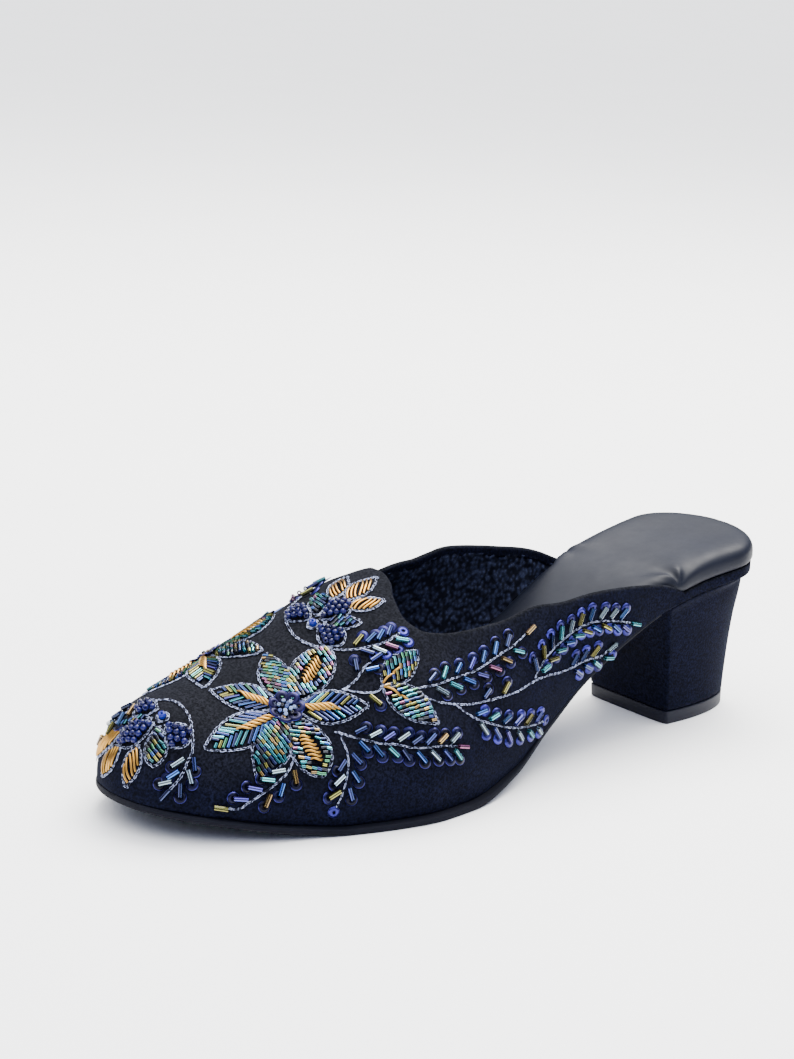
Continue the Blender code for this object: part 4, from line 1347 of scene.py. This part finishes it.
def work_flower_heart(motif, hand):
    """A ring of overlapping dark discs round a cluster of small beads."""
    heart = Petal(FLOWER_CENTRE, FLOWER[0].tip, 0, 1, "heart")
    count = 7
    turns = np.arange(count) * 2 * math.pi / count
    ground = in_petal(heart, hand, 3.4 * np.cos(turns), 3.4 * np.sin(turns))
    away = ground.along * np.cos(turns)[:, None] + ground.beside * np.sin(turns)[:, None]
    add(discs, motif, ground.place(1.25 * MM), unit(ground.out - 0.45 * away), away,
        (4.4 * MM, 4.4 * MM), [np.array(tone("#0e0b2c")[:3]) * rng.uniform(0.6, 1.4) for _ in turns])
    turns = np.concatenate([[0], np.arange(4) * math.pi / 2, np.arange(7) * 2 * math.pi / 7])
    reach = np.array([0] + [1.3] * 4 + [2.3] * 7)
    ground = in_petal(heart, hand, reach * np.cos(turns), reach * np.sin(turns))
    mix = ["#8296c2", "#07080f", "#7d5c34", "#07080f", "#4c609a", "#0d0e22"]
    add(seeds, motif, ground.place((1.9 - 0.25 * reach) * MM), ground.out,
        ground.toward(rng.uniform(0, 360, len(turns))), (1.2 * MM, 1.3 * MM), picked(mix, len(turns)))


def work_berry_eye(motif, point):
    """One navy bead in a ring of thread where a spray's berries meet."""
    eye = Petal(point, (point[0] + 5, point[1]), 0, 1, "eye")
    ground = in_petal(eye, 1, np.zeros(1), np.zeros(1))
    add(seeds, motif, ground.place(1.1 * MM), ground.out, ground.along, (2.3 * MM, 2.6 * MM),
        [np.array(tone(NAVY)[:3])])
    turns = np.linspace(0, 2 * math.pi, 14)
    ground = in_petal(eye, 1, 1.7 * np.cos(turns), 1.7 * np.sin(turns))
    threads[motif].append((ground.place(0.4 * MM), ground.out))


for word, hand in (("outer", 1), ("inner", -1)):
    for petal in FLOWER:
        work_petal("flower_" + word, petal, hand)
    work_flower_heart("flower_" + word, hand)
    for petal in LEAF_PAIR:
        work_petal("leaf_pair_" + word, petal, hand)
    for vine in LEAF_STALKS:
        work_vine("vines_" + word, vine, hand)
    for vine in VINES:
        work_vine("vines_" + word, vine, hand)
for petal in THROAT_SPRAY:
    work_petal("throat_motif", petal, 1)
for petal in TOE_SPRAY:
    work_petal("toe_motif", petal, 1)
for vine in THROAT_STEMS:
    work_vine("throat_motif", vine, 1)
for vine in TOE_STEMS:
    work_vine("toe_motif", vine, 1)
work_berry_eye("throat_motif", (177.7, 10.3))
work_berry_eye("toe_motif", (231.8, 7.5))


# ---------------------------------------------------------------- chain-stitched thread
# Silvery-lilac lurex thread: every outline and stem is a chain of small open loops, each
# caught by the next, standing a little proud of the suede.

STITCH = 1.5 * MM           # from loop to loop
LOOP_LONG, LOOP_WIDE = 1.9 * MM, 0.66 * MM
STEM_LOOP_WIDE = 0.45 * MM   # the vines' stems are pulled tighter
THREAD = 0.24 * MM
UNEVEN_LOOPS = 0.22
THREAD_SIDES = 5
LOOP_POINTS = 9


def tree_for(name, *sizes):
    """A tree that takes carriers and gives finished pieces, with a named input for each size."""
    tree = bpy.data.node_groups.new(name, "GeometryNodeTree")
    tree.interface.new_socket("Geometry", in_out="INPUT", socket_type="NodeSocketGeometry")
    for label, kind, value in sizes:
        socket = tree.interface.new_socket(label, in_out="INPUT", socket_type="NodeSocket" + kind)
        socket.default_value = value
    tree.interface.new_socket("Geometry", in_out="OUTPUT", socket_type="NodeSocketGeometry")
    return tree, node(tree, "NodeGroupInput").outputs, node(tree, "NodeGroupOutput")


def standing(tree, along=None):
    """Rotation that turns Z out of the suede and X along the piece."""
    out = node(tree, "GeometryNodeInputNamedAttribute", {"Name": "out"}, data_type="FLOAT_VECTOR")
    if along is None:
        along = node(tree, "GeometryNodeInputNamedAttribute", {"Name": "along"},
                     data_type="FLOAT_VECTOR").outputs["Attribute"]
    return node(tree, "FunctionNodeAxesToRotation", {0: out.outputs["Attribute"], 1: along},
                primary_axis="Z", secondary_axis="X").outputs["Rotation"]


def finish_tree(tree, result, geometry, mat):
    whole = node(tree, "GeometryNodeRealizeInstances", {"Geometry": geometry})
    named = node(tree, "GeometryNodeSetMaterial", {"Geometry": whole.outputs[0], "Material": mat})
    tree.links.new(named.outputs[0], result.inputs[0])


def made_by(tree, carrier, name, sizes=None):
    """The tree's result on a carrier mesh, as a plain object; the carrier goes."""
    holder = bpy.data.objects.new(name + "_carrier", carrier)
    bpy.context.scene.collection.objects.link(holder)
    mod = holder.modifiers.new("work", "NODES")
    mod.node_group = tree
    for item in tree.interface.items_tree:
        if sizes and item.name in sizes:
            mod[item.identifier] = sizes[item.name]
    bpy.context.view_layer.update()
    seen = holder.evaluated_get(bpy.context.evaluated_depsgraph_get())
    mesh = bpy.data.meshes.new_from_object(seen)
    mesh.name = name
    piece = bpy.data.objects.new(name, mesh)
    bpy.context.scene.collection.objects.link(piece)
    bpy.data.objects.remove(holder)
    bpy.data.meshes.remove(carrier)
    return piece


def line_carrier(name, lines):
    """Mesh of edge lines with the out direction stored at each point."""
    points, edges, outs = [], [], []
    for places, out in lines:
        first = len(points)
        points.extend(tuple(place) for place in places)
        outs.extend(out)
        edges.extend((first + i, first + i + 1) for i in range(len(places) - 1))
    mesh = bpy.data.meshes.new(name)
    mesh.from_pydata(points, edges, [])
    mesh.attributes.new("out", "FLOAT_VECTOR", "POINT").data.foreach_set("vector", np.array(outs).ravel())
    return mesh


def attach(piece, motif):
    """Makes the work ride, and stand for its motif's solid where there is one."""
    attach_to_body(piece, "root")
    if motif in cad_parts:
        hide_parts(motif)


def work_each(store, carrier, tree, name, sizes_for=None):
    """Makes and attaches a piece for each motif that has rows in the store."""
    for motif in MOTIFS:
        if store[motif]:
            sizes = sizes_for(motif) if sizes_for else None
            attach(made_by(tree, carrier(motif, store[motif]), name + motif, sizes), motif)


def loop_size(motif):
    wide = STEM_LOOP_WIDE if motif.startswith("vines") else LOOP_WIDE
    return {"Loop Size": (LOOP_LONG, wide, wide)}


# Lurex: metal-coated fibre, with small cold glints painted into its colour along each loop.
lurex, tree, shader, place = material("lilac_lurex_thread", Metallic=0.55, Roughness=0.42)
twist_and_painted_glints = cloudy(tree, place, 0.8 * MM, Detail=2.0)
# Painted glints: sharp pale lilac spots on the dark thread.
colour_with(tree, shader, mixed(tree, ranged(tree, twist_and_painted_glints, 0.43, 0.57), tone("#070a22"), tone("#a8b2d4")))
emboss(tree, shader, twist_and_painted_glints, 0.4, 0.08 * MM)

tree, given, result = tree_for("chain_stitch_tree", ("Stitch", "Float", STITCH),
                               ("Loop Size", "Vector", (LOOP_LONG, LOOP_WIDE, LOOP_WIDE)),
                               ("Thread", "Float", THREAD), ("Unevenness", "Float", UNEVEN_LOOPS))
line = node(tree, "GeometryNodeMeshToCurve", {"Mesh": given["Geometry"]})
even = node(tree, "GeometryNodeResampleCurve", {"Curve": line.outputs[0], "Length": given["Stitch"]},
            mode="LENGTH")
loop = node(tree, "GeometryNodeCurvePrimitiveCircle", {"Resolution": LOOP_POINTS, "Radius": 0.5})
shaped = node(tree, "GeometryNodeTransform", {"Geometry": loop.outputs[0], "Scale": given["Loop Size"]})
oval = node(tree, "GeometryNodeSetCurveRadius", {"Curve": shaped.outputs[0], "Radius": 1.0})
thread = node(tree, "GeometryNodeCurvePrimitiveCircle", {"Resolution": THREAD_SIDES})
tree.links.new(reckoned(tree, "MULTIPLY", given["Thread"], 0.5), thread.inputs["Radius"])
swept = node(tree, "GeometryNodeCurveToMesh", {"Curve": oval.outputs[0], "Profile Curve": thread.outputs[0]})
tangent = node(tree, "GeometryNodeInputTangent")
drift = node(tree, "FunctionNodeRandomValue", {0: (-1, -1, -1), 1: (1, 1, 1), "Seed": 5},
             data_type="FLOAT_VECTOR")
bent = node(tree, "ShaderNodeVectorMath",
            {0: drift.outputs[0], 1: given["Unevenness"], 2: tangent.outputs[0]}, operation="MULTIPLY_ADD")
pulled = node(tree, "FunctionNodeRandomValue", {0: (0.85, 0.7, 1.0), 1: (1.1, 1.15, 1.4), "Seed": 6},
              data_type="FLOAT_VECTOR")
loops = node(tree, "GeometryNodeInstanceOnPoints", {"Points": even.outputs[0], "Instance": swept.outputs[0],
                                                     "Rotation": standing(tree, bent.outputs[0]),
                                                     "Scale": pulled.outputs[0]})
finish_tree(tree, result, loops.outputs[0], lurex)
work_each(threads, line_carrier, tree, "chain_stitch_", loop_size)


# ---------------------------------------------------------------- bugle and cut beads
# Glass tubes with an iridescent metal coating, sewn down through the bore: long bugles in the
# herringbone petals and on the vines, short cuts of the same glass in the mosaic petals.

BEAD_SIDES = 8
BORE = 0.42                 # share of the width


def point_carrier(name, rows):
    """Mesh of single points with their directions, sizes and colours."""
    places, outs, alongs, sizes, tints = (np.array(column) for column in zip(*rows))
    mesh = bpy.data.meshes.new(name)
    mesh.from_pydata([tuple(place) for place in places], [], [])
    sizes = np.stack([sizes[:, 0], sizes[:, 1], sizes[:, 1]], -1)
    tints = np.concatenate([np.clip(tints, 0, 1), np.ones((len(tints), 1))], 1)
    for label, values in (("out", outs), ("along", alongs), ("size", sizes)):
        mesh.attributes.new(label, "FLOAT_VECTOR", "POINT").data.foreach_set("vector", values.ravel())
    mesh.attributes.new("tint", "FLOAT_COLOR", "POINT").data.foreach_set("color", tints.ravel())
    return mesh


def ring_parts(tree, points, hole, part=0.5):
    """For a ring one wide: the circle along its wall, and the wall's width, or its radius with
    part 0.25."""
    reach = reckoned(tree, "MULTIPLY", reckoned(tree, "ADD", hole, 1.0), 0.25)
    path = node(tree, "GeometryNodeCurvePrimitiveCircle", {"Resolution": points, "Radius": reach})
    return path.outputs[0], reckoned(tree, "MULTIPLY", reckoned(tree, "SUBTRACT", 1.0, hole), part)


def strewn(tree, given, result, unit_piece, mat):
    """Puts the unit piece on every point, at its own size, and marks its own places."""
    here = node(tree, "GeometryNodeInputPosition")
    marked = node(tree, "GeometryNodeStoreNamedAttribute",
                  {"Geometry": unit_piece, "Name": "own_place", "Value": here.outputs[0]},
                  data_type="FLOAT_VECTOR", domain="POINT")
    size = node(tree, "GeometryNodeInputNamedAttribute", {"Name": "size"}, data_type="FLOAT_VECTOR")
    laid = node(tree, "GeometryNodeInstanceOnPoints",
                {"Points": given["Geometry"], "Instance": marked.outputs[0], "Rotation": standing(tree),
                 "Scale": size.outputs["Attribute"]})
    finish_tree(tree, result, laid.outputs[0], mat)


# Coated glass: a metal-like mirror whose colour runs from one shoulder of the tube to the other.
# Two pale lines along it are painted highlights, with the dark line of the bore between them.
glass, tree, shader, place = material("iris_coated_glass", Metallic=0.8, Roughness=0.24, Coat_Weight=0.12,
                                      Coat_Roughness=0.06)
tint = node(tree, "ShaderNodeAttribute", attribute_name="tint").outputs["Color"]
own = node(tree, "ShaderNodeAttribute", attribute_name="own_place").outputs["Vector"]
across = node(tree, "ShaderNodeSeparateXYZ", {0: own}).outputs["Y"]
turned = node(tree, "ShaderNodeHueSaturation",
              {"Hue": 0.475, "Saturation": 0.95, "Value": 1.15, "Color": tint})
sheen = mixed(tree, ranged(tree, across, -0.5, 0.5), tint, turned.outputs[0])
# Painted highlight: the two lines' colour, the sheen's colour lifted a little towards white.
bright = mixed(tree, 0.05, sheen, tone("#e6f0f4"))
body = mixed(tree, 0.86, sheen, tone("#010208"))
# The painted highlight lines run a quarter of the width either side of the tube's middle.
off_painted_highlight = reckoned(tree, "SUBTRACT", reckoned(tree, "ABSOLUTE", across), 0.24)
line = ranged(tree, reckoned(tree, "ABSOLUTE", off_painted_highlight), 0.03, 0.11, 1.0, 0.0,
              interpolation_type="SMOOTHSTEP")
colour_with(tree, shader, mixed(tree, line, body, bright))

tree, given, result = tree_for("bugle_bead_tree", ("Sides", "Int", BEAD_SIDES), ("Bore", "Float", BORE))
path, wall = ring_parts(tree, given["Sides"], given["Bore"])
section = node(tree, "GeometryNodeCurvePrimitiveQuadrilateral", {"Width": wall, "Height": 1.0})
tube = node(tree, "GeometryNodeCurveToMesh", {"Curve": path, "Profile Curve": section.outputs[0]})
lying = node(tree, "GeometryNodeTransform", {"Geometry": tube.outputs[0], "Rotation": (0, math.pi / 2, 0)})
cut = node(tree, "GeometryNodeSetShadeSmooth", {"Geometry": lying.outputs[0], "Shade Smooth": False})
strewn(tree, given, result, cut.outputs[0], glass)
work_each(bugles, point_carrier, tree, "bugle_beads_")


# ---------------------------------------------------------------- cupped sequins
# Thin punched discs of iridescent film, dished, with an open hole in the middle: one holds the
# outer end of each bugle, and a ring of them makes the flower's heart.

DISC_POINTS = 18
HOLE = 0.27                 # share of the width
DISC_THICK = 0.035
DISH = math.radians(13)

film, tree, shader, place = material("iridescent_film", Metallic=0.85, Roughness=0.32, Coat_Weight=0.04,
                                     Coat_Roughness=0.12)
tint = node(tree, "ShaderNodeAttribute", attribute_name="tint").outputs["Color"]
own = node(tree, "ShaderNodeAttribute", attribute_name="own_place").outputs["Vector"]
off_centre = node(tree, "ShaderNodeVectorMath", {0: own}, operation="LENGTH").outputs["Value"]
# Painted highlight: a lighter violet ring round each disc's rim.
colour_with(tree, shader, mixed(tree, ranged(tree, off_centre, 0.42, 0.49), tint, tone("#2c2b78")))

tree, given, result = tree_for("sequin_tree", ("Points", "Int", DISC_POINTS), ("Hole", "Float", HOLE),
                               ("Thickness", "Float", DISC_THICK), ("Dish", "Float", DISH))
path, wall = ring_parts(tree, given["Points"], given["Hole"])
section = node(tree, "GeometryNodeCurvePrimitiveQuadrilateral", {"Width": wall, "Height": given["Thickness"]})
spin = node(tree, "ShaderNodeCombineXYZ", {"Z": given["Dish"]})
dished = node(tree, "GeometryNodeTransform", {"Geometry": section.outputs[0], "Rotation": spin.outputs[0]})
disc = node(tree, "GeometryNodeCurveToMesh", {"Curve": path, "Profile Curve": dished.outputs[0]})
strewn(tree, given, result, disc.outputs[0], film)
work_each(discs, point_carrier, tree, "sequins_")


# ---------------------------------------------------------------- seed beads
# Round rocailles of opaque navy glass, heaped into the berries, and a mixed cluster in the
# flower's heart.

SEED_POINTS = 12
SEED_SECTION = 8
SEED_HOLE = 0.14

rocaille, tree, shader, place = material("lustred_rocaille_glass", Roughness=0.12, IOR=1.5)
shader.inputs["Specular IOR Level"].default_value = 0.32
colour_with(tree, shader, node(tree, "ShaderNodeAttribute", attribute_name="tint").outputs["Color"])

tree, given, result = tree_for("seed_bead_tree", ("Points", "Int", SEED_POINTS), ("Hole", "Float", SEED_HOLE))
path, wall = ring_parts(tree, given["Points"], given["Hole"], part=0.25)
section = node(tree, "GeometryNodeCurvePrimitiveCircle", {"Resolution": SEED_SECTION, "Radius": wall})
plump = node(tree, "GeometryNodeTransform", {"Geometry": section.outputs[0], "Scale": (1.0, 1.9, 1.0)})
ring = node(tree, "GeometryNodeCurveToMesh", {"Curve": path, "Profile Curve": plump.outputs[0]})
round_ring = node(tree, "GeometryNodeSetShadeSmooth", {"Geometry": ring.outputs[0]})
strewn(tree, given, result, round_ring.outputs[0], rocaille)
work_each(seeds, point_carrier, tree, "seed_beads_")


# ---------------------------------------------------------------- gold coiled wire
# Lengths of dabka, a springy tube of coiled gilt wire, cut and sewn down like long beads over
# the petals' middles and side by side in the golden leaves.

COIL_PITCH = 0.42 * MM
COIL_SIDES = 7
COIL_GROOVE = 0.16          # share of the width that it loses between two turns of the coil

gilt, tree, shader, place = material("gilt_coiled_wire", Metallic=1.0, Roughness=0.28)
tarnish = cloudy(tree, place, 3.0 * MM, Detail=2.0)
colour_with(tree, shader, mixed(tree, tarnish, tone("#885e22"), tone("#cfa052")))

tree, given, result = tree_for("coiled_wire_tree", ("Pitch", "Float", COIL_PITCH),
                               ("Thickness", "Float", WIRE_THICK * MM), ("Sides", "Int", COIL_SIDES))
line = node(tree, "GeometryNodeMeshToCurve", {"Mesh": given["Geometry"]})
step = reckoned(tree, "MULTIPLY", given["Pitch"], 0.5)
even = node(tree, "GeometryNodeResampleCurve", {"Curve": line.outputs[0], "Length": step}, mode="LENGTH")
odd = reckoned(tree, "MODULO", node(tree, "GeometryNodeInputIndex").outputs[0], 2.0)
width = reckoned(tree, "MULTIPLY_ADD", odd, -COIL_GROOVE, 1.0)
wavy = node(tree, "GeometryNodeSetCurveRadius", {"Curve": even.outputs[0], "Radius": width})
half_thick = reckoned(tree, "MULTIPLY", given["Thickness"], 0.5)
section = node(tree, "GeometryNodeCurvePrimitiveCircle", {"Resolution": given["Sides"], "Radius": half_thick})
coil = node(tree, "GeometryNodeCurveToMesh", {"Curve": wavy.outputs[0], "Profile Curve": section.outputs[0],
                                              "Fill Caps": True})
finish_tree(tree, result, coil.outputs[0], gilt)
work_each(wires, line_carrier, tree, "gold_wire_")
